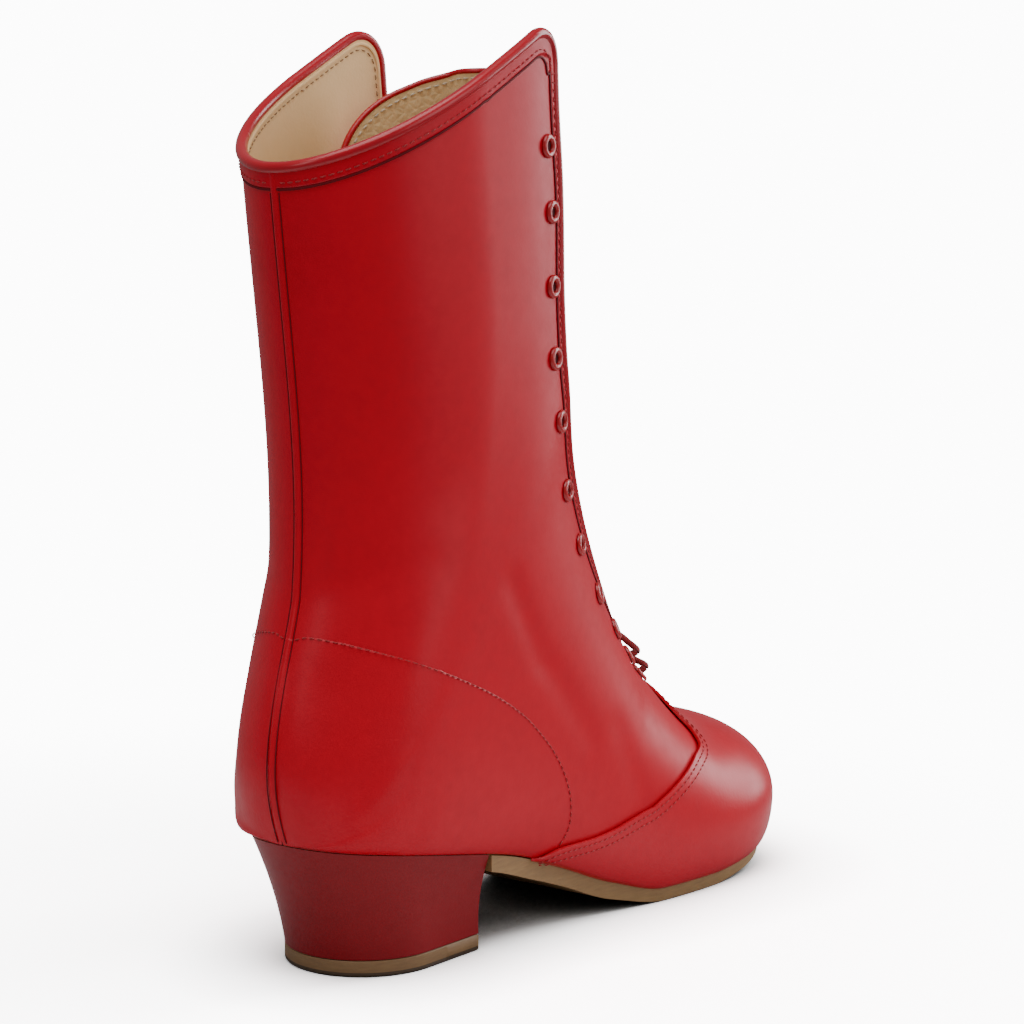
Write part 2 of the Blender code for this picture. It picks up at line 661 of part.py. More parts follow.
def outsole_mesh():
    """Tan outsole from the toe to the heel's breast."""
    rows = np.array([
        0, 0.12, 0.3, 0.55, 0.85, 1.2, 1.6, 2.1, 2.7, 3.3, 4.0, 4.6, 5.0, 5.4, 5.8, 6.05, 6.3, 6.7,
        7.3, 8.0, 8.7, 9.2,
    ])
    rows = np.append(rows, breast_row() - 0.03)
    y = skin(rows, np.full(rows.shape, math.pi), -1)[:, 1]

    def top(value):
        return sole_height_y(value) - 1.5 * CLEARANCE

    def bottom(value):
        return max(float(sole_height_y(value) - tread_at(value, "thickness")), 0.0)

    return sole_plate("outsole", rows, tread_at(y, "overhang"), top, bottom)


def insole_mesh():
    """Insole inside the upper, on the outsole and the heel's seat."""
    rows = np.array([0.9, 1.3, 1.9, 2.6, 3.4, 4.3, 5.2, 5.8, 6.3, 7.2, 8.2, 9.2, 10.2, 11.2, 11.9, 12.3])
    inset = np.full(rows.shape, -INSOLE_INSET)

    def top(value):
        return sole_height_y(value) + 1.5 * CLEARANCE + INSOLE_THICKNESS

    def bottom(value):
        return sole_height_y(value) + 1.5 * CLEARANCE

    return sole_plate("insole", rows, inset, top, bottom)


def heel_base(shares, grow=0.0):
    """Outline of the heel's base, a D with its flat side to the toe, at shares of its length."""
    half = 0.5 * HEEL_BASE_WIDTH + grow
    back = 0.5 * HEEL_BASE_LENGTH + grow
    front = -0.5 * HEEL_BASE_LENGTH - grow
    straight = back - half * 1.02 - front
    arc = math.pi * half
    total = 2 * straight + arc
    points = []
    for share in shares:
        run = share * total
        if run < straight:
            points.append((-half, front + run))
        elif run > total - straight:
            points.append((half, front + total - run))
        else:
            turn = (run - straight) / arc * math.pi
            points.append((-half * math.cos(turn), back - half * 1.02 * (1 - math.sin(turn))))
    return np.array(points)


def seat_outline(shares):
    """Outline of the heel's top, which follows the sole's edge from the breast round the back."""
    rows = np.linspace(breast_row(), SEAM_ROW, 120)
    outer = edge_point(rows, -1, np.full(120, 0.0))
    inner = edge_point(rows, 1, np.full(120, 0.0))[::-1]
    loop = np.concatenate([outer, inner[1:]])
    steps = np.linalg.norm(np.diff(loop[:, :2], axis=0), axis=1)
    length = np.concatenate([[0.0], np.cumsum(steps)])
    at = np.asarray(shares) * length[-1]
    return np.stack([np.interp(at, length, loop[:, i]) for i in range(3)], axis=-1)


def heel_mesh():
    """Covered heel block, lofted from its D shaped base to the seat under the upper."""
    count = 25
    shares = np.linspace(0, 1, count)
    low = heel_base(shares)
    high = seat_outline(shares)
    levels = np.array([0.0, 0.25, 0.5, 0.75, 1.0])
    points = []
    floor = TOP_PIECE + CLEARANCE
    for t in levels:
        for a, b in zip(low, high):
            x = a[0] + (b[0] - a[0]) * t
            y = a[1] + (b[1] - a[1]) * t
            pull = HEEL_HOLLOW * 4 * t * (1 - t)
            size = math.hypot(x, y) or 1.0
            top = float(sole_height_y(b[1])) - CLEARANCE
            points.append((x - pull * x / size, y - pull * y / size, floor + (top - floor) * t))
    faces = sheet_faces(len(levels), count)
    for i in range(len(levels) - 1):
        a = i * count
        faces.append((a + count - 1, a, a + count, a + 2 * count - 1))
    last = (len(levels) - 1) * count
    for start in (0, last):
        for j in range(count // 2):
            a = start + j
            b = start + count - 1 - j
            faces.append((a, a + 1, b - 1, b) if a + 1 < b - 1 else (a, a + 1, b))
    return new_mesh("heel", points, faces)


def top_piece_object(collection, look):
    """Tan top piece, a flat D extruded as a curve."""
    outline = heel_base(np.linspace(0, 1, 25))
    line = bpy.data.curves.new("top_piece", "CURVE")
    line.dimensions = "2D"
    line.fill_mode = "BOTH"
    line.extrude = 0.5 * TOP_PIECE
    track = line.splines.new("POLY")
    track.points.add(len(outline) - 1)
    for point, (x, y) in zip(track.points, outline):
        point.co = (x, y, 0.0, 1.0)
    track.use_cyclic_u = True
    curve_object = bpy.data.objects.new("top_piece_line", line)
    collection.objects.link(curve_object)
    bpy.context.view_layer.update()
    ready = curve_object.evaluated_get(bpy.context.evaluated_depsgraph_get())
    mesh = bpy.data.meshes.new_from_object(ready)
    bpy.data.objects.remove(curve_object)
    work = bmesh.new()
    work.from_mesh(mesh)
    bmesh.ops.remove_doubles(work, verts=work.verts, dist=0.00001)
    bmesh.ops.translate(work, verts=work.verts, vec=(0, 0, 0.5 * TOP_PIECE))
    bmesh.ops.recalc_face_normals(work, faces=work.faces)
    work.to_mesh(mesh)
    work.free()
    mesh.materials.clear()
    made = place("heel_top_piece", mesh, look, collection)
    bevel(made, 0.0004, 1)
    return made


def tube(name, points, diameter, look, collection):
    """Make a round tube along points, as a curve with filled caps turned into a mesh."""
    line = bpy.data.curves.new(name, "CURVE")
    line.dimensions = "3D"
    line.bevel_depth = 0.5 * diameter
    line.bevel_resolution = 2
    line.use_fill_caps = True
    track = line.splines.new("POLY")
    track.points.add(len(points) - 1)
    for target, point in zip(track.points, points):
        target.co = (*point, 1.0)
    curve_object = bpy.data.objects.new(name + "_line", line)
    collection.objects.link(curve_object)
    bpy.context.view_layer.update()
    ready = curve_object.evaluated_get(bpy.context.evaluated_depsgraph_get())
    mesh = bpy.data.meshes.new_from_object(ready)
    bpy.data.objects.remove(curve_object)
    work = bmesh.new()
    work.from_mesh(mesh)
    bmesh.ops.remove_doubles(work, verts=work.verts, dist=0.00001)
    bmesh.ops.recalc_face_normals(work, faces=work.faces)
    work.to_mesh(mesh)
    work.free()
    mesh.materials.clear()
    mesh.shade_smooth()
    mesh.set_sharp_from_angle(angle=math.radians(50))
    return place(name, mesh, look, collection)


def bead_path():
    """Middle line of the binding: up one throat edge, round the collar and down the other edge."""
    inset = 0.5 * BEAD
    corner = len(EDGE_PLACES)
    turns = np.arccos(1 - (np.array(EDGE_PLACES) - WALL_INSET) / (CORNER_RADIUS - WALL_INSET))
    halves = []
    for side in (-1, 1):
        across = ACROSS[side]
        throat_rows = upper_grid(side)[0][:-3, 0]
        rows = list(throat_rows[throat_rows > BEAD_ROW - 0.01])
        places = [float(across.throat(row)) + inset for row in rows]
        distances = inset + (CORNER_RADIUS - inset) * (1 - np.cos(turns))
        for distance, row in zip(distances, collar_row(side, distances, inset)):
            rows.append(row)
            places.append(float(across.throat(row)) + distance)
        spread = column_places(side, COLLAR_ROW)[corner:] - across.throat(COLLAR_ROW)
        for number, row in enumerate(collar_row(side, spread, inset), corner):
            rows.append(row)
            places.append(column_places(side, row)[number])
        rows = np.array(rows)
        angles = across.angle(rows, np.array(places))
        angles[-1] = math.pi
        middle = np.full(rows.shape, BAND_STEP - 0.5 * WALL)
        halves.append(offset_skin(rows, angles, side, middle))
    return np.concatenate([halves[0], halves[1][::-1][1:]])


def eyelet_frame(row, side):
    """Centre of an eyelet on the upper's outer face, and its outward axis."""
    across = ACROSS[side]
    reach = across.throat(row) + EYELET_INSET
    angle = across.angle(np.array([row]), np.array([reach]))
    centre = offset_skin(np.array([row]), angle, side, np.zeros(1))[0]
    axis = outward(skin, np.array([row]), angle, side)[0]
    return centre, axis, float(angle[0])


def turned_eyelet():
    """Mesh of one eyelet, turned about Z with its flange's foot at z = 0."""
    hole = 0.5 * EYELET_HOLE
    barrel = 0.5 * EYELET_BARREL
    flange = 0.5 * EYELET_FLANGE
    foot = 1.5 * CLEARANCE
    profile = (
        (hole, foot + 0.55 * FLANGE_HEIGHT),
        (0.5 * (hole + flange), foot + FLANGE_HEIGHT),
        (flange, foot + 0.45 * FLANGE_HEIGHT),
        (flange - 0.0002, foot),
        (barrel, foot),
        (barrel, -WALL - CLEARANCE),
        (hole, -WALL - CLEARANCE),
    )
    mesh = bpy.data.meshes.new("eyelet")
    work = bmesh.new()
    verts = [work.verts.new((x, 0.0, z)) for x, z in profile]
    for i in range(len(verts)):
        work.edges.new((verts[i], verts[(i + 1) % len(verts)]))
    work.to_mesh(mesh)
    work.free()
    turned = bpy.data.objects.new("eyelet_turned", mesh)
    bpy.context.scene.collection.objects.link(turned)
    screw = turned.modifiers.new("turn", "SCREW")
    screw.steps = EYELET_SIDES
    screw.render_steps = EYELET_SIDES
    screw.use_merge_vertices = True
    screw.merge_threshold = 0.00001
    bpy.context.view_layer.update()
    ready = turned.evaluated_get(bpy.context.evaluated_depsgraph_get())
    done = bpy.data.meshes.new_from_object(ready)
    bpy.data.objects.remove(turned)
    work = bmesh.new()
    work.from_mesh(done)
    bmesh.ops.remove_doubles(work, verts=work.verts, dist=0.00001)
    bmesh.ops.recalc_face_normals(work, faces=work.faces)
    work.to_mesh(done)
    work.free()
    done.shade_smooth()
    done.set_sharp_from_angle(angle=math.radians(50))
    return done


def turn_to(axis):
    """Rotation that takes +Z to an axis."""
    return Vector(axis).to_track_quat("Z", "Y")


def hole_cutter(collection):
    """All eyelet holes as one mesh of short cylinders."""
    work = bmesh.new()
    for row in EYELET_ROWS:
        for side in (-1, 1):
            centre, axis, _ = eyelet_frame(row, side)
            matrix = Matrix.Translation(Vector(centre)) @ turn_to(axis).to_matrix().to_4x4()
            radius = 0.5 * EYELET_BARREL + CLEARANCE
            bmesh.ops.create_cone(
                work, cap_ends=True, segments=EYELET_SIDES, radius1=radius, radius2=radius,
                depth=0.010, matrix=matrix,
            )
    mesh = bpy.data.meshes.new("eyelet_holes")
    work.to_mesh(mesh)
    work.free()
    cutter = bpy.data.objects.new("eyelet_holes", mesh)
    cutter.hide_render = True
    cutter.display_type = "WIRE"
    collection.objects.link(cutter)
    return cutter


def lace_points(row):
    """Path of a lace bar from one eyelet over the tongue to the other."""
    rise = CLEARANCE + FLANGE_HEIGHT + CLEARANCE + 0.5 * LACE
    _, _, angle = eyelet_frame(row, -1)
    _, _, far = eyelet_frame(row, 1)
    points = []
    for side, end in ((-1, angle), (1, far)):
        turns = np.linspace(end, 0.0, 7)
        rows = np.full(7, row)
        heights = rise + np.zeros(7)
        half = offset_skin(rows, turns, side, heights)
        points.append(half)
    return np.concatenate([points[0], points[1][::-1][1:]])


def main():
    """Clear the scene and build every solid of the boot in its own collection."""
    for old in list(bpy.data.objects):
        bpy.data.objects.remove(old)
    boot = bpy.data.collections.new("dance_boot")
    cutters = bpy.data.collections.new("cutters")
    bpy.context.scene.collection.children.link(boot)
    bpy.context.scene.collection.children.link(cutters)

    red = material("red_leather", (176, 24, 28), 0.38)
    red_vamp = material("red_vamp_leather", (172, 24, 30), 0.36)
    red_edge = material("red_binding", (168, 22, 28), 0.30)
    red_heel = material("red_heel_cover", (150, 28, 34), 0.36)
    red_metal = material("red_eyelet_enamel", (160, 26, 32), 0.30, 0.3)
    red_lace = material("red_lace", (140, 18, 24), 0.75)
    lining = material("beige_lining", (208, 176, 138), 0.62)
    gold = material("tongue_leather", (168, 30, 34), 0.55)
    tan = material("tan_sole_leather", (136, 104, 68), 0.50)
    rubber = material("tan_top_piece", (126, 94, 62), 0.60)

    cutter = hole_cutter(cutters)
    upper = place("upper", upper_mesh(), red, boot)
    solidify(upper, WALL, -1.0)
    holes = upper.modifiers.new("eyelet_holes", "BOOLEAN")
    holes.operation = "DIFFERENCE"
    holes.solver = "EXACT"
    holes.object = cutter

    vamp = place("vamp", vamp_mesh(), red_vamp, boot)
    solidify(vamp, VAMP_THICKNESS, 1.0)
    tongue = place("tongue", tongue_mesh(), gold, boot)
    solidify(tongue, TONGUE_THICKNESS, -1.0)

    outsole = place("outsole", outsole_mesh(), tan, boot)
    bevel(outsole, SOLE_BEVEL, 1)
    place("insole", insole_mesh(), lining, boot)
    heel = place("heel", heel_mesh(), red_heel, boot)
    bevel(heel, 0.0005, 1, 60)
    top_piece_object(boot, rubber)

    tube("edge_binding", bead_path(), BEAD, red_edge, boot)
    ring = turned_eyelet()
    for side, label in ((-1, "outer"), (1, "inner")):
        for number, row in enumerate(EYELET_ROWS, 1):
            centre, axis, _ = eyelet_frame(row, side)
            made = place(f"eyelet_{label}_{number:02d}", ring.copy(), red_metal, boot)
            made.location = centre
            made.rotation_mode = "QUATERNION"
            made.rotation_quaternion = turn_to(axis)
    for number, row in enumerate(EYELET_ROWS[-LACED_ROWS:], 1):
        tube(f"lace_bar_{number}", lace_points(row), LACE, red_lace, boot)


main()
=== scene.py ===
"""Looks of the red lace-up dance boot: leather, lining, binding, stitches, eyelets, lace, sole and heel.

Metres, +Z up, toe to -Y, outer side to -X. The boot's skin is a function of a row, which runs from the
toe over the foot and up the leg, and an angle from the front of the row to the sole or the back seam.
"""
import logging
import math
from dataclasses import dataclass, field
from enum import Enum

import bmesh
import bpy
import numpy as np
from mathutils import Matrix


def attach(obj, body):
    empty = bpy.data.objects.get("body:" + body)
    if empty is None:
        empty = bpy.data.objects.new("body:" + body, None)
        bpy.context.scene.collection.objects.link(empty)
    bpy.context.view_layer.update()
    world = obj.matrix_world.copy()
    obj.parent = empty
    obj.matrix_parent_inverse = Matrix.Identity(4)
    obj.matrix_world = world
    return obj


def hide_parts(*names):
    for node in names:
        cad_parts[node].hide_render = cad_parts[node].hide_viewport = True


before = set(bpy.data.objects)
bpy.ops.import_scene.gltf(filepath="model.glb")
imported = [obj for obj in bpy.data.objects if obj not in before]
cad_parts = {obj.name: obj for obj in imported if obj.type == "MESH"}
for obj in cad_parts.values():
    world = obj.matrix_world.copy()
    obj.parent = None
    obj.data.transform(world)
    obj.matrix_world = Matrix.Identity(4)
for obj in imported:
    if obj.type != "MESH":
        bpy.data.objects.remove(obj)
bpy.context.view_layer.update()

BODY = "root"
log = logging.getLogger("dance_boot")


class Side(Enum):
    """The two halves of the boot, by the sign of their X."""

    OUTER = -1
    INNER = 1


def smooth(value: np.ndarray) -> np.ndarray:
    """Return the S curve 3v^2 - 2v^3 of a value held between 0 and 1."""
    value = np.clip(value, 0.0, 1.0)
    return value * value * (3.0 - 2.0 * value)


def unit(vectors: np.ndarray) -> np.ndarray:
    """Return vectors scaled to length 1."""
    return vectors / np.maximum(np.linalg.norm(vectors, axis=-1, keepdims=True), 1e-12)


def hermite(x: np.ndarray, y: np.ndarray, at: np.ndarray) -> np.ndarray:
    """Cubic Hermite curve through points, its slopes the harmonic means, so it has no swings.

    Args:
        x: Rising places of the points.
        y: Their values.
        at: Places to read.

    Returns:
        The values there, in a line past both ends.
    """
    step = np.diff(x)
    slope = np.diff(y) / step
    tangent = np.zeros(len(x))
    tangent[0] = slope[0]
    tangent[-1] = slope[-1]
    same = slope[:-1] * slope[1:] > 0
    both = slope[:-1] + slope[1:]
    tangent[1:-1] = np.where(same, 2 * slope[:-1] * slope[1:] / np.where(same, both, 1.0), 0.0)
    at = np.asarray(at, dtype=float)
    inside = np.clip(at, x[0], x[-1])
    i = np.clip(np.searchsorted(x, inside) - 1, 0, len(x) - 2)
    h = step[i]
    t = (inside - x[i]) / h
    value = (2 * t**3 - 3 * t**2 + 1) * y[i] + (t**3 - 2 * t**2 + t) * h * tangent[i]
    value = value + (3 * t**2 - 2 * t**3) * y[i + 1] + (t**3 - t**2) * h * tangent[i + 1]
    return value + (at - inside) * np.where(at < x[0], tangent[0], tangent[-1])


def through(points: np.ndarray, count: int) -> np.ndarray:
    """Catmull-Rom curve through points, its tangents half of the step between both neighbours.

    Args:
        points: Points in order.
        count: Number of samples.

    Returns:
        Samples from the first point to the last.
    """
    points = np.asarray(points, dtype=float)
    padded = np.concatenate([[2 * points[0] - points[1]], points, [2 * points[-1] - points[-2]]])
    place = np.linspace(0, len(points) - 1, count)
    i = np.minimum(place.astype(int), len(points) - 2)
    t = (place - i)[:, None]
    a, b, c, d = (padded[i + n] for n in range(4))
    return 0.5 * (2 * b + (c - a) * t + (2 * a - 5 * b + 4 * c - d) * t**2 + (3 * b - a - 3 * c + d) * t**3)


def run_length(points: np.ndarray) -> np.ndarray:
    """Return the distance run at each point of a path, or of every path in a grid."""
    steps = np.linalg.norm(np.diff(points, axis=-2), axis=-1)
    return np.concatenate([np.zeros(steps.shape[:-1] + (1,)), np.cumsum(steps, axis=-1)], axis=-1)


def columns_at(at: np.ndarray, run: np.ndarray, values: np.ndarray) -> np.ndarray:
    """Return rows of values, which belong to distances along a run, read at other distances."""
    return np.stack([np.interp(at, run, column) for column in values.T], -1)


def spaced(path: np.ndarray, least: float = 0.0002) -> np.ndarray:
    """Return which points of a path lie further than the least step from the point before."""
    return np.concatenate([[True], np.linalg.norm(np.diff(path, axis=0), axis=1) > least])


def joined(halves: list) -> np.ndarray:
    """Return two halves as one run: out to the middle along the first, back along the second."""
    return np.concatenate([halves[0], halves[1][::-1][1:]])


@dataclass
class Last:
    """Sizes of the boot and the function of its skin, the same as the solids are cut from."""

    length: float = 0.238
    heel_back: float = 0.041
    ball_width: float = 0.089
    leg_width: float = 0.076
    heel_height: float = 0.0435
    ankle_height: float = 0.075
    leg_height: float = 0.170
    toe_spring: float = 0.008
    sole: float = 0.005
    wall: float = 0.002
    clearance: float = 0.0003
    bead: float = 0.0030
    band: float = 0.0070
    throat_band: float = 0.0052
    step: float = 0.0005
    corner: float = 0.016
    seam_row: int = 13
    collar_row: float = 20.62
    slit_row: float = 6.30
    slit_round: float = 0.35
    ease: float = 1.1
    ease_reach: float = 2.4
    ease_turn: float = 0.9
    trace_rows: int = 211
    route_rows: tuple = (6.78, 19.35)
    names: tuple = (
        "at", "rise", "top_at", "top_rise", "leg", "outer", "inner", "leg_half",
        "edge_out", "edge_in", "widest", "round_top", "round_low", "swing", "gap",
    )
    sections: tuple = (
        (0.012, 0.00, 0.000, 0.20, 0.00, 0.00, 0.00, 0.00, 0.00, 0.00, 0.50, 2.2, 2.0, 0.075, 0.000),
        (0.026, 0.00, 0.014, 0.36, 0.00, 0.53, 0.36, 0.00, 0.46, 0.31, 0.55, 2.2, 2.0, 0.074, 0.000),
        (0.054, 0.00, 0.045, 0.46, 0.00, 0.82, 0.62, 0.00, 0.71, 0.53, 0.60, 2.1, 2.0, 0.068, 0.000),
        (0.102, 0.00, 0.090, 0.53, 0.00, 1.00, 0.80, 0.00, 0.88, 0.70, 0.64, 2.1, 2.0, 0.050, 0.000),
        (0.165, 0.00, 0.137, 0.59, 0.00, 1.06, 0.90, 0.00, 0.95, 0.79, 0.66, 2.0, 2.0, 0.030, 0.000),
        (0.250, 0.00, 0.185, 0.63, 0.00, 1.03, 0.90, 0.00, 0.92, 0.77, 0.68, 2.0, 2.0, 0.012, 0.000),
        (0.350, 0.00, 0.232, 0.745, 0.00, 0.95, 0.84, 0.00, 0.86, 0.70, 0.66, 2.1, 2.0, 0.000, 0.120),
        (0.450, 0.00, 0.290, 0.94, 0.00, 0.86, 0.76, 0.00, 0.75, 0.56, 0.64, 2.2, 2.0, 0.000, 0.200),
        (0.560, 0.00, 0.348, 1.05, 0.10, 0.72, 0.66, 0.12, 0.66, 0.50, 0.62, 2.3, 2.1, 0.000, 0.370),
        (0.680, 0.00, 0.408, 1.12, 0.30, 0.51, 0.50, 0.36, 0.68, 0.60, 0.59, 2.4, 2.3, 0.000, 0.540),
        (0.800, 0.00, 0.452, 1.19, 0.55, 0.33, 0.33, 0.58, 0.70, 0.67, 0.56, 2.6, 2.5, 0.000, 0.670),
        (0.910, 0.00, 0.474, 1.27, 0.75, 0.20, 0.20, 0.74, 0.62, 0.62, 0.54, 2.8, 2.8, 0.000, 0.750),
        (0.970, 0.00, 0.485, 1.35, 0.88, 0.10, 0.10, 0.85, 0.38, 0.38, 0.52, 3.0, 3.1, 0.000, 0.800),
        (0.984, 0.00, 0.494, 1.43, 1.00, 0.05, 0.05, 0.92, 0.00, 0.00, 0.51, 3.2, 3.2, 0.000, 0.830),
        (1.003, 0.22, 0.496, 1.50, 1.00, 0.00, 0.00, 0.96, 0.00, 0.00, 0.50, 3.4, 2.5, 0.000, 0.850),
        (0.999, 0.44, 0.497, 1.575, 1.00, 0.00, 0.00, 0.95, 0.00, 0.00, 0.50, 3.5, 1.9, 0.000, 0.860),
        (0.978, 0.70, 0.503, 1.66, 1.00, 0.00, 0.00, 0.95, 0.00, 0.00, 0.50, 3.6, 1.7, 0.000, 0.875),
        (0.952, 0.95, 0.514, 1.75, 1.00, 0.00, 0.00, 0.96, 0.00, 0.00, 0.50, 3.7, 1.8, 0.000, 0.885),
        (0.940, 1.16, 0.527, 1.84, 1.00, 0.00, 0.00, 0.98, 0.00, 0.00, 0.50, 3.8, 1.95, 0.000, 0.900),
        (0.952, 1.38, 0.538, 1.925, 1.00, 0.00, 0.00, 0.99, 0.00, 0.00, 0.50, 3.9, 2.0, 0.000, 0.915),
        (0.974, 1.62, 0.543, 2.01, 1.00, 0.00, 0.00, 1.00, 0.00, 0.00, 0.50, 4.0, 2.0, 0.000, 0.925),
        (0.992, 1.86, 0.545, 2.12, 1.00, 0.00, 0.00, 1.01, 0.00, 0.00, 0.50, 4.0, 2.0, 0.000, 0.930),
    )
    sole_line: tuple = (
        (0.00, 1.00, 0.00), (0.08, 0.58, 0.00), (0.17, 0.20, 0.00), (0.26, 0.00, 0.00),
        (0.36, 0.00, 0.00), (0.46, 0.00, 0.16), (0.57, 0.00, 0.43), (0.68, 0.00, 0.65),
        (0.78, 0.00, 0.78), (0.90, 0.00, 0.91), (1.00, 0.00, 1.00),
    )
    traces: dict = field(default_factory=dict)

    def __post_init__(self) -> None:
        """Trace every row once, so that distances along it can be turned into angles."""
        self.toe_y = self.heel_back - self.length
        self.inset = 0.6 * self.bead
        self.table = np.array(self.sections)
        self.rows = np.linspace(0, len(self.sections) - 1, self.trace_rows)
        angles = np.linspace(0, math.pi, 400)
        shares = np.linspace(0, 1, 401)
        for side in (-1, 1):
            points = self.skin(self.rows[:, None], angles[None, :], side)
            lengths = run_length(points)
            girth = lengths[:, -1]
            inverse = np.array([np.interp(shares * g, run, angles) for g, run in zip(girth, lengths)])
            half = 0.5 * self.leg_width
            gap = np.maximum(self.column("gap", self.rows), 0) * half
            width = self.column("outer" if side < 0 else "inner", self.rows, start="odd")
            body = np.maximum(0.5 * width * self.ball_width + self.column("leg_half", self.rows) * half, 1e-6)
            angle = np.arcsin(np.minimum(gap / body, 0.999)**(self.column("round_top", self.rows) / 2))
            throat = np.array([np.interp(a, angles, run) for a, run in zip(angle, lengths)])
            self.traces[side] = (girth, inverse, throat)

    def column(self, name: str, row: np.ndarray, first: int = 0, last: int | None = None,
               start: str = "line", end: str = "line") -> np.ndarray:
        """Uniform cubic B-spline of one column of the sections.

        Args:
            name: Column's name.
            row: Rows to read.
            first: First section used.
            last: Last section used, or None for the table's last.
            start: How the column runs on before its start: line, even or odd.
            end: How it runs on past its end.

        Returns:
            The blended values.
        """
        last = len(self.sections) - 1 if last is None else last
        values = self.table[first:last + 1, self.names.index(name)]
        ghosts = []
        for edge, beside, how in ((values[0], values[1], start), (values[-1], values[-2], end)):
            ghosts.append({"line": 2 * edge - beside, "even": beside, "odd": -beside}[how])
        points = np.concatenate([[ghosts[0]], values, [ghosts[1]]])
        place = np.clip(np.asarray(row, dtype=float) - first, 0, len(values) - 1)
        i = np.minimum(place.astype(int), len(values) - 2)
        f = place - i
        weights = ((1 - f)**3 / 6, (3 * f**3 - 6 * f**2 + 4) / 6,
                   (-3 * f**3 + 3 * f**2 + 3 * f + 1) / 6, f**3 / 6)
        return sum(weight * points[i + n] for n, weight in enumerate(weights))

    def level(self, rise: np.ndarray) -> np.ndarray:
        """Return a rise in metres: ankle heights up to 1 and leg heights past it."""
        return np.minimum(rise, 1) * self.ankle_height + np.maximum(rise - 1, 0) * self.leg_height

    def sole_height(self, along: np.ndarray) -> np.ndarray:
        """Height of the sole's upper face.

        Args:
            along: Shares of the length from the toe.

        Returns:
            Heights over the floor.
        """
        line = np.array(self.sole_line)
        rise = line[:, 1] * self.toe_spring + line[:, 2] * (self.heel_height - self.sole)
        return hermite(line[:, 0], self.sole + rise, along)

    def sole_height_y(self, y: np.ndarray) -> np.ndarray:
        """Return the height of the sole's upper face at places along the boot."""
        return self.sole_height((np.asarray(y) - self.toe_y) / self.length)

    def lower_edge(self, row: np.ndarray, side: int) -> tuple:
        """Sole's edge along the foot and the back seam above the heel.

        Args:
            row: Rows.
            side: Half of the boot.

        Returns:
            Places along the boot, heights and half widths.
        """
        foot = row <= self.seam_row
        foot_at = self.column("at", row, 0, self.seam_row, "even", "even")
        corner_at = float(self.column("at", np.array(self.seam_row), 0, self.seam_row, "even", "even"))
        settle = np.exp(-np.maximum(row - self.seam_row, 0) / 0.5)
        leg_at = self.column("at", row, self.seam_row) - (self.table[self.seam_row, 0] - corner_at) * settle
        y = self.toe_y + np.where(foot, foot_at, leg_at) * self.length
        seam_z = self.sole_height(corner_at) + self.level(self.column("rise", row, self.seam_row))
        z = np.where(foot, self.sole_height(foot_at), seam_z)
        half = self.column("edge_out" if side < 0 else "edge_in", row, 0, self.seam_row, "odd", "odd")
        return y, z, np.where(foot, half, 0.0) * 0.5 * self.ball_width

    def soft_edge(self, row: np.ndarray, angle: np.ndarray, side: int) -> list:
        """Lower edge averaged over rows near the heel's corner, less so at the edge itself.

        Args:
            row: Rows.
            angle: Angles, which set how far the averaging reaches.
            side: Half of the boot.

        Returns:
            Places along the boot, heights and half widths.
        """
        near = np.clip(1 - ((row - self.seam_row) / self.ease_reach)**2, 0.0, 1.0)**2
        reach = self.ease * near * smooth((math.pi - angle) / self.ease_turn)
        shifts = np.linspace(-1, 1, 9)
        weights = 1 - 0.9 * shifts**2
        samples = [self.lower_edge(row + reach * shift, side) for shift in shifts]
        return [sum(w * s[i] for w, s in zip(weights, samples)) / weights.sum() for i in range(3)]

    def skin(self, row: np.ndarray, angle: np.ndarray, side: int) -> np.ndarray:
        """Superelliptic half section in the plane from the row's top point to its lower edge.

        Args:
            row: Rows.
            angle: Angles from the front, 0, to the lower edge, pi.
            side: -1 for the outer half and 1 for the inner half.

        Returns:
            Points on the boot's outside.
        """
        row, angle = np.broadcast_arrays(np.asarray(row, dtype=float), np.asarray(angle, dtype=float))
        base_y, base_z, edge = self.soft_edge(row, angle, side)
        top_at = self.column("top_at", row, start="even")
        leg = self.column("leg", row)
        top_y = self.toe_y + top_at * self.length
        top_z = (1 - leg) * self.sole_height(top_at) + leg * self.heel_height
        top_z = top_z + self.level(self.column("top_rise", row))
        width = self.column("outer" if side < 0 else "inner", row, start="odd")
        half = 0.5 * (width * self.ball_width + self.column("leg_half", row) * self.leg_width)
        swing = self.column("swing", row, start="even") * self.ball_width
        cosine = np.cos(angle)
        sine = np.sin(angle)
        front = cosine >= 0
        power = 2.0 / np.where(front, self.column("round_top", row), self.column("round_low", row))
        reach = np.abs(cosine)**power
        spread = np.sign(sine) * np.abs(sine)**power
        widest = self.column("widest", row)
        down = np.where(front, widest * (1 - reach), widest + (1 - widest) * reach)
        x = np.where(front, half * spread, edge + (half - edge) * spread)
        y = top_y + (base_y - top_y) * down
        return np.stack([side * x + swing, y, top_z + (base_z - top_z) * down], -1)

    def normal(self, row: np.ndarray, angle: np.ndarray, side: int) -> np.ndarray:
        """Normals of the skin from central differences, kept off its ends.

        Args:
            row: Rows.
            angle: Angles.
            side: Half of the boot.

        Returns:
            Unit normals that point out.
        """
        row = np.clip(np.asarray(row, dtype=float), 0.04, len(self.sections) - 1.05)
        angle = np.clip(np.asarray(angle, dtype=float), 0.03, math.pi - 0.03)
        along = self.skin(row + 0.03, angle, side) - self.skin(row - 0.03, angle, side)
        around = self.skin(row, angle + 0.02, side) - self.skin(row, angle - 0.02, side)
        return unit(np.cross(around, along) * side)

